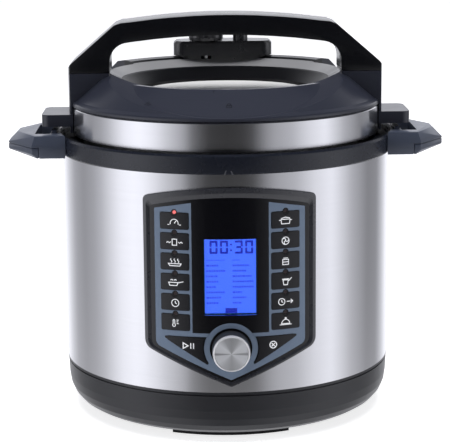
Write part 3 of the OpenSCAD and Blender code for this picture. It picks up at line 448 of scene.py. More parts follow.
# ---------------------------------------- top ring and side handles
# The ring over the shell and both carrying handles are a blue-black plastic with a satin face. The ring's
# trough, inside its rim, is duller and painted darker as shade, and the handles are painted a lighter blue as
# light falling on their fronts. Each handle is a top shell over a lower cover, screwed to the ring from
# inside.
RIM_W = 0.0016
TROUGH_PAINTED_SHADE = (0.006, 0.007, 0.011)
satin_navy = plastic("blue-black plastic", (0.010, 0.0125, 0.022), 0.27, cloudiness=0.015)
# The trough inside the rim is painted darker as shade, as well as being duller.
trough = radius_mask(satin_navy.node_tree, 0.0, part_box("top_ring")[1].x - RIM_W)
paint(satin_navy, trough, TROUGH_PAINTED_SHADE, 0.75)
dress(satin_navy, "top_ring", edge=0.0003)
# The handles are the ring's plastic, painted a lighter blue as the light that falls on their fronts.
side_navy_painted_light = plastic("side handle plastic", (0.070, 0.083, 0.120), 0.32, cloudiness=0.015)
dress(side_navy_painted_light, "side_handle_left", "side_handle_right", "handle_cover_left", "handle_cover_right",
      edge=0.0012)

# ---------------------------------------- outer pot and heater
# The outer pot is pressed steel. The heating plate is aluminium, cast round a tubular element and
# turned on top. In its middle is the sensor, held up by a coil of spring wire.
pressed_steel = metal("pressed steel", (0.62, 0.62, 0.63), 0.3, lines=1500.0)
dress(pressed_steel, "outer_pot")
cast_aluminium = metal("cast aluminium", (0.66, 0.66, 0.67), 0.38, lines=900.0, shade=0.2, depth=0.00002)
dress(cast_aluminium, "heating_plate", "sensor_plunger")
element_steel = metal("element sheath", (0.42, 0.38, 0.35), 0.45, lines=1200.0, shade=0.3)
dress(element_steel, "heating_element")
spring_steel = metal("spring steel", (0.6, 0.6, 0.62), 0.25, lines=4000.0)
SPRING_R, WIRE_R, SPRING_PRESS = 0.0052, 0.0007, 0.003
SPRING_TURNS, TURN_STEPS, WIRE_SIDES = 5, 24, 8
spring_low, spring_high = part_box("sensor_spring")


def make_piece(name, shape, material, body):
    """Turns mesh work into a named piece that rides on a body."""
    mesh = bpy.data.meshes.new(name)
    bmesh.ops.recalc_face_normals(shape, faces=shape.faces)
    shape.to_mesh(mesh)
    shape.free()
    piece = bpy.data.objects.new(name, mesh)
    bpy.context.scene.collection.objects.link(piece)
    mesh.materials.append(material)
    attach(piece, body)
    return piece


coil = bmesh.new()
wire_rings = []
spring_tall = spring_high.z - spring_low.z
for step in range(SPRING_TURNS * TURN_STEPS + 1):
    part = step / (SPRING_TURNS * TURN_STEPS)
    turn = part * SPRING_TURNS * 2 * math.pi
    climb = spring_low.z + WIRE_R + part * (spring_tall - 2 * WIRE_R)
    wire_ring = []
    for corner in range(WIRE_SIDES):
        angle = corner * 2 * math.pi / WIRE_SIDES
        out = SPRING_R + WIRE_R * math.cos(angle)
        wire_ring.append(coil.verts.new((
            out * math.cos(turn), out * math.sin(turn), climb + WIRE_R * math.sin(angle),
        )))
    wire_rings.append(wire_ring)
for one, two in zip(wire_rings, wire_rings[1:]):
    for corner in range(WIRE_SIDES):
        coil.faces.new((one[corner - 1], one[corner], two[corner], two[corner - 1]))
coil.faces.new(wire_rings[0])
coil.faces.new(wire_rings[-1])
spring_piece = make_piece("coil_spring", coil, spring_steel, "cooker")
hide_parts("sensor_spring")
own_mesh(spring_piece)
switch_plastic = plastic("switch plastic", (0.03, 0.028, 0.026), 0.5)
dress(switch_plastic, "pressure_switch")

# ---------------------------------------- inner pot and seal
# The cooking pot is stainless steel, spun to shape, with its lines round it. The lid's seal is a moulded
# ring of translucent silicone, and stays in place on a rack of bent wire.
spun_steel = metal("spun pot steel", (0.74, 0.74, 0.75), 0.2, lines=1100.0, shade=0.08, Anisotropic=0.5,
                   Anisotropic_Rotation=0.25)
brush_round(spun_steel)
dress(spun_steel, "inner_pot")
silicone = plastic("seal silicone", (0.72, 0.72, 0.68), 0.4, cloudiness=0.05, Subsurface_Weight=0.25,
                   Subsurface_Scale=0.003)
dress(silicone, "sealing_ring")
dress(plated_steel, "gasket_rack")

# ---------------------------------------- steel lid
# The lid is one pressing of stainless steel. The band round its outside is brushed, and the dome in
# its middle is blasted to a satin, and painted pale, almost without metal, as a painted reflection of the
# bright room.
BAND_INNER_R = 0.100
# The dome's pale colour and low metal are a painted reflection of the bright room.
DOME_PAINTED_REFLECTION, DOME_METALLIC, DOME_ROUGH = (0.94, 0.94, 0.94), 0.05, 0.35
lid_steel = brushed("lid steel")
lid_tree = lid_steel.node_tree
on_dome = radius_mask(lid_tree, 0.0, BAND_INNER_R)
lid_metal = put(lid_tree, "ShaderNodeMix", {"Factor": on_dome, "A": 1.0, "B": DOME_METALLIC})
feed(lid_tree, lid_tree.nodes["Principled BSDF"], {"Metallic": lid_metal.outputs[0]})
paint(lid_steel, on_dome, DOME_PAINTED_REFLECTION, DOME_ROUGH)
dress(lid_steel, "steel_lid")

# ---------------------------------------- lid cover and handle
# A moulded black cover slopes from the band up to a round opening, whose wall is painted black as shade.
# Behind that its crest is painted grey as a highlight, with two dark hollows painted as shade. The wide
# handle bridges the lid on two legs, as a hollow shell with a liner under the grip, and is screwed down
# inside the legs.
WELL_R, CREST_R, STEP_R, HOLLOW_R = 0.0792, 0.0888, 0.0915, 0.0975
CREST_Z, CREST_TOP, HOLLOW_FRONT, COVER_HALF = 0.2515, 0.27, 0.042, 0.1
WELL_PAINTED_SHADE, CREST_PAINTED_HIGHLIGHT, HOLLOW_PAINTED_SHADE = (0.003, 0.003, 0.004), (0.27, 0.27, 0.28), (0.004, 0.004, 0.005)
cover_plastic = plastic("lid cover plastic", (0.028, 0.031, 0.047), 0.30, cloudiness=0.015)
cover_tree = cover_plastic.node_tree
# The opening's wall is painted near black as shade.
paint(cover_plastic, radius_mask(cover_tree, 0.0, WELL_R), WELL_PAINTED_SHADE, 0.45)
# Behind the opening, the crest is painted grey as a highlight, and the two hollows black as shade.
for inner, outer, front, colour in (
    (WELL_R, STEP_R, 0.0, CREST_PAINTED_HIGHLIGHT), (CREST_R, HOLLOW_R, HOLLOW_FRONT, HOLLOW_PAINTED_SHADE),
):
    behind = box_mask(cover_tree, (-COVER_HALF, front, CREST_Z), (COVER_HALF, COVER_HALF, CREST_TOP))
    painted_light_patch = maths(cover_tree, "MULTIPLY", radius_mask(cover_tree, inner, outer), behind)
    paint(cover_plastic, painted_light_patch, colour)
dress(cover_plastic, "lid_cover")
handle_plastic = plastic("lid handle plastic", (0.005, 0.0055, 0.0075), 0.24, cloudiness=0.01)
dress(handle_plastic, "lid_handle", edge=0.0028)
dress(handle_plastic, "handle_underside")

# ---------------------------------------- valves
# The steam pipe goes through the lid, with a shield over its inner end, both of plated steel. The
# release knob and the valve housing are glossy black plastic, and the float is red plastic.
dress(plated_steel, "steam_pipe", "anti_block_shield")
valve_plastic = plastic("valve plastic", (0.007, 0.007, 0.009), 0.26, Specular_IOR_Level=0.8)
dress(valve_plastic, "valve_housing", "steam_valve_knob")
float_plastic = plastic("float plastic", (0.55, 0.03, 0.03), 0.35)
dress(float_plastic, "float_pin")

# ---------------------------------------- condensation cup
# A moulded cup of clear plastic catches what drips from the lid. It slides into a black bracket
# behind the shell, and comes out to the rear.
dress(black_plastic, "cup_bracket")
cup_clear = plastic("cup plastic", (0.93, 0.95, 0.97), 0.08, cloudiness=0.0, depth=0.000002,
                    Transmission_Weight=0.92, IOR=1.49)
dress(cup_clear, "condensation_cup")

# ---------------------------------------- panel
# A sheet of glossy black plastic, curved like the shell, lies over the keys. The ring round the knob
# stands up from it, and the ring's face is printed in the grey-blue of the frame.
INK, INK_ROUGH = (0.19, 0.255, 0.36), 0.42
SHEET_BLACK, SHEET_ROUGH = (0.005, 0.005, 0.007), 0.12
# How far the faces of the sheet and of its ring are from the cooker's axis, in millimetres.
FACE_R, RING_FACE_R = 126.4, 127.3
panel_gloss, panel_tree, panel_shader = new_material("panel gloss", Base_Color=(*SHEET_BLACK, 1))
panel_finish = put(panel_tree, "ShaderNodeGroup", {"Roughness": SHEET_ROUGH}, node_tree=GRAIN)
feed(panel_tree, panel_shader, {"Roughness": panel_finish.outputs["Roughness"]})
paint(panel_gloss, radius_mask(panel_tree, RING_FACE_R * MM, 1.0), INK, INK_ROUGH)
dress(panel_gloss, "panel_overlay")

# ---------------------------------------- printed frame
# Grey-blue ink on the sheet: a ladder round each column of keys, and a frame round the two large keys
# that runs to the panel's point. It is printed flat, in millimetres, and follows the sheet's curve.
PRINT_T = 0.05
KEY_S, KEY_TOP_Z, KEY_PITCH = 40.04, 163.9, 14.76
KNOB_Z = 71.7


def soft_corners(corners, steps=5):
    """A closed outline in millimetres through corners (across, up, radius), each rounded."""
    line = []
    for index, (across, up, radius) in enumerate(corners):
        here = Vector((across, up))
        before = (Vector(corners[index - 1][:2]) - here).normalized()
        after = (Vector(corners[(index + 1) % len(corners)][:2]) - here).normalized()
        half = before.angle(after) / 2
        if radius == 0:
            line.append(here)
            continue
        middle = here + (before + after).normalized() * (radius / math.sin(half))
        first = here + before * (radius / math.tan(half)) - middle
        last = here + after * (radius / math.tan(half)) - middle
        for step in range(steps + 1):
            line.append(middle + first.lerp(last, step / steps).normalized() * radius)
    return line


def arc(across, up, radius, start, end, steps=12):
    """Points on an arc, in millimetres, from one angle to another in degrees."""
    angles = [math.radians(start + (end - start) * step / steps) for step in range(steps + 1)]
    return [Vector((across + radius * math.cos(a), up + radius * math.sin(a))) for a in angles]


def wrap(shape, radius):
    """Bends a flat print (arc length, height, thickness) round the cooker's front at a radius."""
    for spot in shape.verts:
        angle = spot.co.x / radius
        out = radius + spot.co.z
        spot.co = Vector((out * math.sin(angle), -out * math.cos(angle), spot.co.y)) * MM


def cut_across(shape, step=2.5):
    """Cuts flat work into narrow upright strips, so that it can bend."""
    across = [spot.co.x for spot in shape.verts]
    cut = min(across) + step
    while cut < max(across):
        bmesh.ops.bisect_plane(shape, geom=shape.verts[:] + shape.edges[:] + shape.faces[:], dist=0.0001,
                               plane_co=(cut, 0, 0), plane_no=(1, 0, 0))
        cut += step


def filled(outlines, thickness=PRINT_T):
    """A flat filled figure with holes, ready to bend."""
    figure = bpy.data.curves.new("figure", "CURVE")
    figure.dimensions = "2D"
    figure.fill_mode = "BOTH"
    figure.extrude = thickness / 2
    for outline in outlines:
        spline = figure.splines.new("POLY")
        spline.points.add(len(outline) - 1)
        for point, (across, up) in zip(spline.points, outline):
            point.co = (across, up, 0, 1)
        spline.use_cyclic_u = True
    holder = bpy.data.objects.new("figure", figure)
    flat = bpy.data.meshes.new_from_object(holder)
    shape = bmesh.new()
    shape.from_mesh(flat)
    bpy.data.objects.remove(holder)
    bpy.data.curves.remove(figure)
    bpy.data.meshes.remove(flat)
    bmesh.ops.remove_doubles(shape, verts=shape.verts, dist=0.001)
    cut_across(shape)
    return shape


def mirrored(outline):
    return [Vector((-across, up)) for across, up in reversed(outline)]


# The frame's bar, at BAR_Z, meets the ring round the knob, and its point is at TIP_Z.
RING_MID_R = 17.0
BAR_Z, TIP_Z = 82.6, 48.2
bar_meets = math.degrees(math.asin((BAR_Z - KNOB_Z) / RING_MID_R))
left_half = soft_corners([
    (-27.6, BAR_Z, 0), (-27.6, 177.2, 0.4), (-55.2, 172.5, 0.8), (-55.4, 72.9, 5), (0, TIP_Z, 0),
])
bay = arc(0, KNOB_Z, RING_MID_R, bar_meets, bar_meets - 180 - 2 * bar_meets, 48)
frame_outline = left_half + mirrored(left_half[:-1]) + bay
# The hole for a key is a box with soft corners, and has a bump in its top for the light.
HOLE_HALF_W, HOLE_HALF_H, HOLE_CORNER_R = 10.85, 6.2, 1.2
BUMP_UP, BUMP_R = 6.1, 2.35
key_holes = []
for side in (-1, 1):
    for row in range(6):
        middle, height = side * KEY_S, KEY_TOP_Z - row * KEY_PITCH
        left, right = middle - HOLE_HALF_W, middle + HOLE_HALF_W
        low, high = height - HOLE_HALF_H, height + HOLE_HALF_H
        hole = soft_corners([(*corner, HOLE_CORNER_R)
                             for corner in ((right, high), (right, low), (left, low), (left, high))])
        key_holes.append(hole + arc(middle, height + BUMP_UP, BUMP_R, 176, 4, 10))
LARGE_CUT_R = 19.35
large_key = (
    soft_corners([(-16.1, 59.0, 0.8), (-51.7, 79.95, 1.8), (-17.5, 79.95, 0)])[:-1]
    + arc(0, KNOB_Z, LARGE_CUT_R, 154.8, 213.7, 14)
)
key_holes += [large_key, mirrored(large_key)]
frame_ink = plastic("grey-blue ink", INK, INK_ROUGH, cloudiness=0.02, depth=0.000002)
frame_shape = filled([frame_outline] + key_holes)
wrap(frame_shape, FACE_R + PRINT_T / 2)
make_piece("printed_frame", frame_shape, frame_ink, "cooker")

# ---------------------------------------- bezel
# A moulded frame of satin plastic clips into the shell over the sheet's edge. Its face slopes in to the
# sheet, and a lip of the sheet's own black follows the frame's lower edge.
BEZEL_HALF, BEZEL_LOW, BEZEL_TOP = 64.0, 43.0, 187.9
SIDE_W, TIP_W, CROWN_W = 5.2, 3.3, 6.9
CROWN_R, CROWN_R_LOSS = 300, 45
LOWER_SLOPE = 0.437
# From the outer edge (share 0) to the inner edge (share 1), with the height over the sheet.
BEZEL_PROFILE = [
    (0, -1.6), (0, 0.6), (0.06, 1.05), (0.16, 1.25), (0.50, 1.25), (0.58, 1.15), (0.94, 0.2), (1, 0.02),
    (1, -1.6),
]
bezel_plastic = plastic("bezel plastic", (0.026, 0.027, 0.035), 0.28, cloudiness=0.01, depth=0.000004,
                        Specular_IOR_Level=1.0)


def bezel_outline(share):
    """The frame's outline, from its outer edge (share 0) to its inner edge (share 1)."""
    half = BEZEL_HALF - SIDE_W * share
    tip = BEZEL_LOW + TIP_W * share
    crown, crown_r = BEZEL_TOP - CROWN_W * share, CROWN_R - CROWN_R_LOSS * share
    side_low, side_high = tip + LOWER_SLOPE * half, crown - half ** 2 / 2 / crown_r
    arch = [(across, crown - across ** 2 / 2 / crown_r, 0) for across in range(50, -51, -10)]
    return soft_corners(
        [(-half, side_low, 8 - 2 * share), (0, tip, 2.5 - share), (half, side_low, 8 - 2 * share),
         (half, side_high, 4 - share)] + arch + [(-half, side_high, 4 - share)]
    )


bezel = bmesh.new()
rings = [
    [bezel.verts.new((across, up, height)) for across, up in bezel_outline(share)]
    for share, height in BEZEL_PROFILE
]
for inner, outer in zip(rings, rings[1:] + rings[:1]):
    for index in range(len(inner)):
        bezel.faces.new((inner[index - 1], inner[index], outer[index], outer[index - 1]))
cut_across(bezel)
wrap(bezel, FACE_R)
bezel_piece = make_piece("bezel", bezel, bezel_plastic, "cooker")
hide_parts("control_bezel")
LIP_T, LIP_SINK = 1.0, 0.53
lip_black = plastic("lip black", SHEET_BLACK, SHEET_ROUGH, cloudiness=0.0, depth=0.000001)
lip = filled([soft_corners([
    (-59.6, 71.8, 5), (0, 45.8, 1), (59.6, 71.8, 5), (59.6, 88, 0), (54.5, 88, 0), (52.5, 77.5, 0),
    (0, 50.6, 0), (-52.5, 77.5, 0), (-54.5, 88, 0), (-59.6, 88, 0),
])], LIP_T)
wrap(lip, FACE_R - LIP_SINK)
make_piece("panel_lip", lip, lip_black, "cooker")

# ---------------------------------------- lock marks
# An arrow on the ring, and two padlocks and a tick on the lid cover, show how far the lid turns. They
# are pad printed in a thin coat of grey or black ink.
mark_grey = plastic("arrow ink", (0.10, 0.10, 0.115), 0.45, cloudiness=0.0, depth=0.000002)
mark_black = plastic("padlock ink", (0.004, 0.004, 0.005), 0.5, cloudiness=0.0, depth=0.000002)
ARROW = [(-3.6, 197.3), (-0.9, 204.4), (2.2, 197.2)]
ARROW_R, ARROW_LINE = 126.5, 0.8


def ribbon(shape, points, width, thickness, closed=False, step=1.5):
    """Adds a flat line of even width along points, in short lengths so that it can bend."""
    line = []
    count = len(points)
    for index in range(count if closed else count - 1):
        first, last = Vector(points[index]), Vector(points[(index + 1) % count])
        parts = max(1, math.ceil((last - first).length / step))
        line += [first.lerp(last, part / parts) for part in range(parts)]
    if not closed:
        line.append(Vector(points[-1]))
    loops = []
    for index, spot in enumerate(line):
        before = line[index - 1] if index or closed else spot
        after = line[(index + 1) % len(line)] if index < len(line) - 1 or closed else spot
        ahead = (after - spot).normalized() if after != spot else (spot - before).normalized()
        behind = (spot - before).normalized() if before != spot else ahead
        along = (ahead + behind).normalized()
        side = Vector((-along.y, along.x))
        reach = side * (width / 2 / max(0.5, side.dot(Vector((-ahead.y, ahead.x)))))
        loops.append([
            shape.verts.new((*edge, height))
            for edge, height in (
                (spot + reach, 0), (spot - reach, 0), (spot - reach, thickness), (spot + reach, thickness),
            )
        ])
    pairs = list(zip(loops, loops[1:]))
    if closed:
        pairs.append((loops[-1], loops[0]))
    for one, two in pairs:
        for corner in range(4):
            shape.faces.new((one[corner], two[corner], two[corner - 1], one[corner - 1]))
    if not closed:
        shape.faces.new(loops[0])
        shape.faces.new(loops[-1])


arrow = bmesh.new()
ribbon(arrow, ARROW, ARROW_LINE, PRINT_T)
wrap(arrow, ARROW_R)
make_piece("ring_arrow", arrow, mark_grey, "cooker")

# The marks on the lid are let down on the cover's slope from a height over the lid.
OVER_LID = 0.35
cover_mesh = nodes["lid_cover"].data
cover_skin = BVHTree.FromPolygons(
    [spot.co for spot in cover_mesh.vertices], [face.vertices for face in cover_mesh.polygons]
)


def print_on_cover(name, strokes, radius, degrees, line=0.5):
    """Prints a mark on the cover's slope, at a radius and at an angle round from the front."""
    shape = bmesh.new()
    for points, closed in strokes:
        ribbon(shape, points, line, PRINT_T, closed, step=0.8)
    outward = Vector((math.sin(math.radians(degrees)), -math.cos(math.radians(degrees))))
    along = Vector((-outward.y, outward.x))
    for spot in shape.verts:
        place = (outward * (radius - spot.co.y) + along * spot.co.x) * MM
        hit = cover_skin.ray_cast(Vector((place.x, place.y, OVER_LID)), Vector((0, 0, -1)))[0]
        spot.co = Vector((place.x, place.y, hit.z + (spot.co.z - PRINT_T / 2) * MM))
    make_piece(name, shape, mark_black, "lid")


padlock_body = ([(-1.7, -1.8), (1.7, -1.8), (1.7, 0.9), (-1.7, 0.9)], True)
keyhole = ([(0, -0.9), (0, -0.1)], False)
shut_loop = ([(-1.1, 0.9)] + arc(0, 1.7, 1.1, 180, 0, 8) + [(1.1, 0.9)], False)
open_loop = (arc(-1.5, 2.0, 1.1, 200, 0, 8) + [(-0.4, 0.9)], False)
print_on_cover("padlock_closed", [padlock_body, keyhole, shut_loop], radius=103, degrees=0.3)
print_on_cover("padlock_open", [padlock_body, keyhole, open_loop], radius=104, degrees=-33.4)
print_on_cover("lock_tick", [([(0, -1.6), (0, 1.6)], False)], radius=85, degrees=-6.7)

# ---------------------------------------- keys
# Each key is a moulded cap of glossy black plastic. It stands in an opening of the sheet and presses a
# switch on the board behind, and has a white mark printed on its face, whose ink glows faintly as painted
# light.
KEY_FACE_R = 126.8
key_gloss = plastic("key gloss", (0.008, 0.008, 0.011), 0.2, cloudiness=0.0, depth=0.000003)
dress(key_gloss, *(f"key_{number}" for number in range(1, 13)), "start_key", "cancel_key")
# The printed ink glows faintly as painted light; it is no lamp.
key_ink_painted_glow = plastic("key ink", (0.92, 0.92, 0.93), 0.5, cloudiness=0.0, depth=0.000002,
                  Emission_Color=(0.9, 0.92, 0.95, 1), Emission_Strength=0.28)


def circle(across, up, radius, steps=20):
    return arc(across, up, radius, 0, 360 - 360 / steps, steps - 1)


def wave(across, low, high, sway=0.5, steps=8):
    """A rising wavy line, as for steam or heat."""
    return [
        (across + sway * math.sin(step / steps * 2 * math.pi), low + (high - low) * step / steps)
        for step in range(steps + 1)
    ]


# Marks in millimetres from the middle of the key: (points, closed).
gauge = [(arc(0, -1.2, 3.0, -15, 195), False), ([(0, -1.2), (1.5, 0.6)], False),
         ([(-5, -2.2), (-3.6, -2.2)], False), ([(3.6, -2.2), (5, -2.2)], False)]
water_bath = [([(-1.7, 2.2), (-1.7, -2.2), (1.7, -2.2), (1.7, 2.2)], True),
              ([(-6, -0.6), (-4.9, 0.2), (-3.8, -0.6), (-2.7, 0.2)], False),
              ([(2.7, 0.2), (3.8, -0.6), (4.9, 0.2), (6, -0.6)], False)]
steamer = [(wave(-2.6, 0, 2.8), False), (wave(0, 0, 2.8), False), (wave(2.6, 0, 2.8), False),
           ([(-4.8, -0.8), (-3.8, -2.4), (3.8, -2.4), (4.8, -0.8)], True)]
pan = [([(-4.8, 0.2), (-4.0, -2.0), (1.4, -2.0), (2.2, 0.2)], True), ([(2.2, 0.0), (6.2, 1.0)], False),
       (arc(-2.4, 1.6, 0.8, 0, 180, 6), False), (arc(0.2, 1.6, 0.8, 0, 180, 6), False)]
clock = [(circle(0, 0, 2.7), True), ([(0, 1.5), (0, 0), (1.2, -0.6)], False)]
thermometer = [(arc(-1.2, -1.5, 1.1, 125, 415, 14) + [(-0.57, 2.0), (-1.2, 2.6), (-1.83, 2.0)], True),
               ([(0.8, 2.2), (2.4, 2.2)], False), ([(0.8, 0.9), (2.0, 0.9)], False),
               ([(0.8, -0.4), (2.4, -0.4)], False)]
stew_pot = [([(-3.4, 0.8), (-3.0, -2.4), (3.0, -2.4), (3.4, 0.8)], True), ([(-4.9, 0.2), (-3.6, 0.2)], False),
            ([(3.6, 0.2), (4.9, 0.2)], False), ([(-3.4, 1.5), (0, 2.3), (3.4, 1.5)], False)]
fan = [(circle(0, 0, 2.7), True)] + [
    (arc(1.1 * math.cos(a), 1.1 * math.sin(a), 1.1, math.degrees(a) - 180, math.degrees(a) - 20, 6), False)
    for a in (0.5, 2.6, 4.7)
]
jar = [([(-2.2, 1.2), (-2.2, -2.5), (2.2, -2.5), (2.2, 1.2)], True), ([(-1.7, 2.2), (1.7, 2.2)], False),
       ([(-2.2, -0.6), (2.2, -0.6)], False)]
cup = [([(-2.0, 1.0), (-1.4, -2.5), (1.4, -2.5), (2.0, 1.0)], True), ([(-2.7, 1.7), (2.7, 1.7)], False),
       ([(2.4, 0.2), (4.6, 2.6)], False)]
delayed = [(circle(-3.0, 0, 2.4), True), ([(-3.0, 1.4), (-3.0, 0), (-1.9, -0.5)], False),
           ([(0.8, 0), (5.4, 0)], False), ([(3.9, 1.4), (5.4, 0), (3.9, -1.4)], False)]
warmer = [([(-4.6, -2.2), (4.6, -2.2)], False), (arc(0, -1.5, 3.1, 0, 180), True),
          (arc(0, 2.4, 0.5, 0, 315, 7), True)]
KEY_MARKS = [gauge, water_bath, steamer, pan, clock, thermometer, stew_pot, fan, jar, cup, delayed, warmer]
MARK_LINE, LARGE_MARK_LINE, MARK_DROP = 0.62, 0.75, 0.6
LARGE_MARK_S, LARGE_MARK_Z = 30.6, 73.2


def key_mark(name, strokes, across, up, body, line=MARK_LINE):
    """Prints a mark on the face of a key. It moves with the key."""
    shape = bmesh.new()
    for points, closed in strokes:
        ribbon(shape, [(x + across, y + up) for x, y in points], line, PRINT_T, closed)
    wrap(shape, KEY_FACE_R)
    make_piece(name, shape, key_ink_painted_glow, body)


for index, strokes in enumerate(KEY_MARKS):
    across = KEY_S if index >= 6 else -KEY_S
    up = KEY_TOP_Z - index % 6 * KEY_PITCH - MARK_DROP
    key_mark(f"mark_{index + 1}", strokes, across, up, f"key_{index + 1}")
play = [([(-4.0, 2.1), (-4.0, -2.1), (-0.4, 0)], True), ([(1.6, 2.1), (1.6, -2.1)], False),
        ([(3.6, 2.1), (3.6, -2.1)], False)]
stop = [(circle(0, 0, 2.5), True), ([(-1.2, 1.2), (1.2, -1.2)], False), ([(-1.2, -1.2), (1.2, 1.2)], False)]
key_mark("mark_start", play, -LARGE_MARK_S, LARGE_MARK_Z, "start_key", LARGE_MARK_LINE)
key_mark("mark_cancel", stop, LARGE_MARK_S, LARGE_MARK_Z, "cancel_key", LARGE_MARK_LINE)

# ---------------------------------------- indicator lights
# A light pipe of red plastic stands over each key and brings the light of a lamp on the board to the
# front of the sheet. The first one, top left, is lit.
LIT_LOW, LIT_HIGH = (-0.0440, -0.130, 0.1670), (-0.0360, -0.100, 0.1730)
DULL_REDS = (0.020, 0.010, 0.012, 1), (0.035, 0.014, 0.016, 1)
LIT_RED, NO_GLOW, RED_GLOW = (0.55, 0.08, 0.07, 1), (0, 0, 0, 1), (0.85, 0.18, 0.18, 1)
light_red, light_tree, light_shader = new_material("light pipe", Roughness=0.3, Emission_Strength=1.0)
lit = box_mask(light_tree, LIT_LOW, LIT_HIGH)
flecks = put(light_tree, "ShaderNodeTexNoise", {"Vector": place_in(light_tree), "Scale": 900.0})
unlit = mix_colours(light_tree, flecks.outputs["Fac"], *DULL_REDS)
feed(light_tree, light_shader, {
    "Base Color": mix_colours(light_tree, lit, unlit, LIT_RED),
    "Emission Color": mix_colours(light_tree, lit, NO_GLOW, RED_GLOW),
})
dress(light_red, "indicator_lights")

# ---------------------------------------- display
# A liquid crystal module with a blue back light stands behind a window of clear plastic. It shows a
# time in four figures, and two columns of short bars below.
window_clear = plastic("window plastic", (0.95, 0.97, 1.0), 0.04, cloudiness=0.0, depth=0.0000005,
                       Transmission_Weight=1.0, IOR=1.2)
dress(window_clear, "display_window")
display_blue = plastic("display", (0.02, 0.05, 0.4), 0.5, cloudiness=0.0, depth=0.000001,
                       Emission_Color=(0.053, 0.160, 1.0, 1), Emission_Strength=0.95)
dress(display_blue, "display_module")
segment_ink = plastic("display segments", (0.002, 0.004, 0.10), 0.5, cloudiness=0.0, depth=0.000001,
                      Emission_Color=(0.004, 0.014, 0.40, 1), Emission_Strength=1.0)
faint_ink = plastic("display small bars", (0.004, 0.01, 0.2), 0.5, cloudiness=0.0, depth=0.000001,
                    Emission_Color=(0.014, 0.045, 0.62, 1), Emission_Strength=1.0)
DISPLAY_Y = -121.6
SEGMENT_LINE = 1.5
DIGIT_W, DIGIT_LOW, DIGIT_HIGH = 5.7, 139.9, 149.4
SEVEN = {0: "abcdef", 3: "abcdg"}
segments = bmesh.new()


def digit(value, left):
    """One figure of the clock, made of the usual seven bars."""
    half_line, nick, reach = SEGMENT_LINE / 2, 0.45, 0.6
    left, right = left + half_line, left + DIGIT_W - half_line
    low, high, middle = DIGIT_LOW + half_line, DIGIT_HIGH - half_line, (DIGIT_LOW + DIGIT_HIGH) / 2
    bars = {
        "a": ((left - reach, high), (right + reach, high)), "d": ((left - reach, low), (right + reach, low)),
        "g": ((left + nick, middle), (right - nick, middle)),
        "b": ((right, middle + nick), (right, high)), "c": ((right, low), (right, middle - nick)),
        "e": ((left, low), (left, middle - nick)), "f": ((left, middle + nick), (left, high)),
    }
    for bar in SEVEN[value]:
        ribbon(segments, bars[bar], SEGMENT_LINE, PRINT_T, step=9)


for value, left in ((0, -14.6), (0, -7.2), (3, 3.2), (0, 10.6)):
    digit(value, left)
COLON_DOT = 1.3
for height in (142.4, 146.6):
    ribbon(segments, [(0.0, height), (COLON_DOT, height)], COLON_DOT, PRINT_T, step=9)
FOOT_BAR, FOOT_BAR_H = [(-3.7, 98.5), (4.8, 98.5)], 3.6
ribbon(segments, FOOT_BAR, FOOT_BAR_H, PRINT_T, step=9)
# Each column starts with a thin rule, and the rows under it are broken into bars of uneven length.
FIRST_ROW_Z, ROW_PITCH = 135.3, 3.9
RULE_H, BAR_H, BAR_GAP = 0.6, 1.3, 0.45
small_bars = bmesh.new()
for left, lengths in ((-17.0, (12, 8, 13, 7, 8, 6, 13, 9, 7)), (1.6, (5, 11, 10, 13, 15, 14, 6, 9, 5))):
    for row, length in enumerate(lengths):
        height = FIRST_ROW_Z - row * ROW_PITCH
        at = left
        while at < left + length:
            wide = 0.9 + 0.5 * ((row * 5 + round(at * 3)) % 3)
            ribbon(small_bars, [(at, height), (at + wide, height)], BAR_H if row else RULE_H, PRINT_T, step=9)
            at += wide + BAR_GAP


def face_front(shape, depth):
    """Stands a flat print upright on the display, facing the front."""
    for spot in shape.verts:
        spot.co = Vector((spot.co.x, depth - spot.co.z, spot.co.y)) * MM


face_front(segments, DISPLAY_Y)
face_front(small_bars, DISPLAY_Y)
make_piece("display_figures", segments, segment_ink, "cooker")
make_piece("display_bars", small_bars, faint_ink, "cooker")

# ---------------------------------------- knob
# The knob is moulded plastic, with a plated rim and a black skirt behind it; the rim is mostly white and
# matt, as a painted reflection. A disc of aluminium, spun on a lathe, is glued into its face, and the fans in
# which its fine lines shine are painted into its colour as a painted sheen.
RIM_DEPTH = 0.0018
SKIRT_BLACK = (0.05, 0.05, 0.055)
# The rim's near-white colour and low metal are a painted reflection of the bright room.
knob_rim_painted_reflection = metal("knob rim", (0.93, 0.93, 0.95), 0.16, lines=500.0, shade=0.02, change=0.03,
                    depth=0.000001, Metallic=0.3)
knob_low, knob_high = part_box("control_knob")
behind_rim = box_mask(
    knob_rim_painted_reflection.node_tree, knob_low + Vector((-MM, RIM_DEPTH, -MM)), knob_high + Vector((MM, MM, MM)),
)
paint(knob_rim_painted_reflection, behind_rim, SKIRT_BLACK, 0.3)
dress(knob_rim_painted_reflection, "control_knob")


def light_round(tree, x, y, levels, tint=(1, 1, 1)):
    """A brightness that changes round an axis. The levels are (degrees, brightness), from -180 to 180."""
    share = put(tree, "ShaderNodeMapRange", {
        "Value": maths(tree, "ARCTAN2", x, y), "From Min": -math.pi, "From Max": math.pi,
    })
    ramp = put(tree, "ShaderNodeValToRGB", {"Fac": share.outputs["Result"]})
    while len(ramp.color_ramp.elements) < len(levels):
        ramp.color_ramp.elements.new(0.5)
    for stop, (degrees, level) in zip(ramp.color_ramp.elements, levels):
        stop.position = (degrees + 180) / 360
        stop.color = (*(level * part for part in tint), 1)
    return ramp.outputs["Color"]


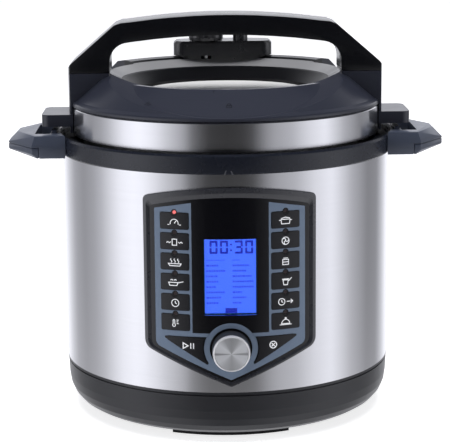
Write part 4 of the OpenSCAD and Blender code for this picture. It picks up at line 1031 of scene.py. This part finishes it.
# Brightness round the disc's middle, multiplied into its colour: a painted sheen of the fans in which its
# spun lines shine.
SPUN_PAINTED_SHEEN = [
    (-180, 0.62), (-150, 0.75), (-125, 0.95), (-98, 0.90), (-90, 0.35), (-82, 0.90), (-50, 1.0), (-24, 0.62),
    (0, 0.55), (24, 0.62), (50, 1.0), (82, 0.90), (90, 0.35), (98, 0.90), (125, 0.95), (150, 0.75),
    (180, 0.62),
]
knob_spun = metal("knob face", (0.86, 0.87, 0.90), 0.34, lines=3500.0, Metallic=0.35, Anisotropic=0.9,
                  Anisotropic_Rotation=0.25)
brush_round(knob_spun, "Y")
spun_tree = knob_spun.node_tree
spun_shader = spun_tree.nodes["Principled BSDF"]
from_middle = put(spun_tree, "ShaderNodeVectorMath", {0: place_in(spun_tree), 1: (0, 0, KNOB_Z * MM)},
                  operation="SUBTRACT")
spun_spot = put(spun_tree, "ShaderNodeSeparateXYZ", {0: from_middle.outputs[0]}).outputs
painted_fans = light_round(spun_tree, spun_spot["X"], spun_spot["Z"], SPUN_PAINTED_SHEEN)
spun_colour_painted_sheen = mix_colours(spun_tree, 1.0, held_by(spun_shader, "Base Color"), painted_fans, how="MULTIPLY")
feed(spun_tree, spun_shader, {"Base Color": spun_colour_painted_sheen})
dress(knob_spun, "knob_cap")

# ---------------------------------------- floor
# The cooker stands on a plain white sweep of card with a faintly uneven face. The sweep is kept out
# of the steel's reflections, which show the room and its lights.
FLOOR_R, FLOOR_GLOW = 14, 0.75
FLOOR_WHITES = (0.93, 0.93, 0.94, 1), (0.97, 0.97, 0.97, 1)
floor_mesh = bpy.data.meshes.new("floor")
floor_shape = bmesh.new()
bmesh.ops.create_circle(floor_shape, cap_ends=True, segments=96, radius=FLOOR_R)
floor_shape.to_mesh(floor_mesh)
floor_shape.free()
floor = bpy.data.objects.new("floor", floor_mesh)
bpy.context.scene.collection.objects.link(floor)
floor_paint, floor_tree, floor_shader = new_material("floor paint", Roughness=0.9, Specular_IOR_Level=0.1)
floor_cloud = put(floor_tree, "ShaderNodeTexNoise", {"Vector": place_in(floor_tree), "Scale": 3.0})
floor_seen = put(floor_tree, "ShaderNodeLightPath")
feed(floor_tree, floor_shader, {
    "Base Color": mix_colours(floor_tree, floor_cloud.outputs["Fac"], *FLOOR_WHITES),
    "Emission Color": (1, 1, 1, 1),
    "Emission Strength": maths(floor_tree, "MULTIPLY", floor_seen.outputs["Is Camera Ray"], FLOOR_GLOW),
})
floor.visible_glossy = False
floor_mesh.materials.append(floor_paint)

# ---------------------------------------- light
# The studio has a large soft light on each side, white walls behind, a dull ceiling, and a dark room
# in front. A soft box hangs over the cooker.
WALL_LIGHT = [
    (-180, 1.20), (-157, 1.15), (-145, 0.82), (-134, 0.52), (-120, 0.40), (-107, 0.50), (-98, 0.68),
    (-89, 0.99), (-80, 1.30), (-68, 1.45), (-57, 1.27), (-51, 1.08), (-45, 0.86), (-38, 0.68), (-31, 0.46),
    (-26, 0.20), (-19, 0.08), (-13, 0.02), (0, 0.008), (11, 0.02), (18, 0.06), (23, 0.18), (29, 0.36),
    (35, 0.49), (48, 0.63), (62, 0.99), (77, 1.24), (86, 0.95), (97, 0.60), (116, 0.31), (131, 0.36),
    (153, 1.18),
]
WALL_TINT, CEILING, FLOOR_LIGHT = (0.97, 0.98, 1.04), (0.10, 0.105, 0.12, 1), (0.9, 0.9, 0.92, 1)
world = bpy.data.worlds.new("studio")
bpy.context.scene.world = world
world.use_nodes = True
sky = world.node_tree
sky.nodes.clear()
toward = put(sky, "ShaderNodeSeparateXYZ", {0: put(sky, "ShaderNodeTexCoord").outputs["Generated"]}).outputs
walls = light_round(sky, toward["X"], maths(sky, "MULTIPLY", toward["Y"], -1.0), WALL_LIGHT, WALL_TINT)
below = put(sky, "ShaderNodeMapRange", {
    "Value": toward["Z"], "From Min": -0.23, "From Max": -0.38, "To Min": 0.0, "To Max": 0.45,
}, interpolation_type="SMOOTHSTEP").outputs["Result"]
above = put(sky, "ShaderNodeMapRange", {
    "Value": toward["Z"], "From Min": 0.30, "From Max": 0.70,
}, interpolation_type="SMOOTHSTEP").outputs["Result"]
near_floor = mix_colours(sky, below, walls, FLOOR_LIGHT)
room = mix_colours(sky, above, near_floor, CEILING)
glow = put(sky, "ShaderNodeBackground", {"Color": room, "Strength": 1.0})
put(sky, "ShaderNodeOutputWorld", {"Surface": glow.outputs[0]})

top_light = bpy.data.lights.new("overhead softbox", "AREA")
top_light.shape = "RECTANGLE"
top_light.size = 1.6
top_light.size_y = 1.2
top_light.energy = 30
overhead = bpy.data.objects.new("overhead softbox", top_light)
overhead.location = (0, 0.1, 1.8)
overhead.visible_glossy = False
bpy.context.scene.collection.objects.link(overhead)
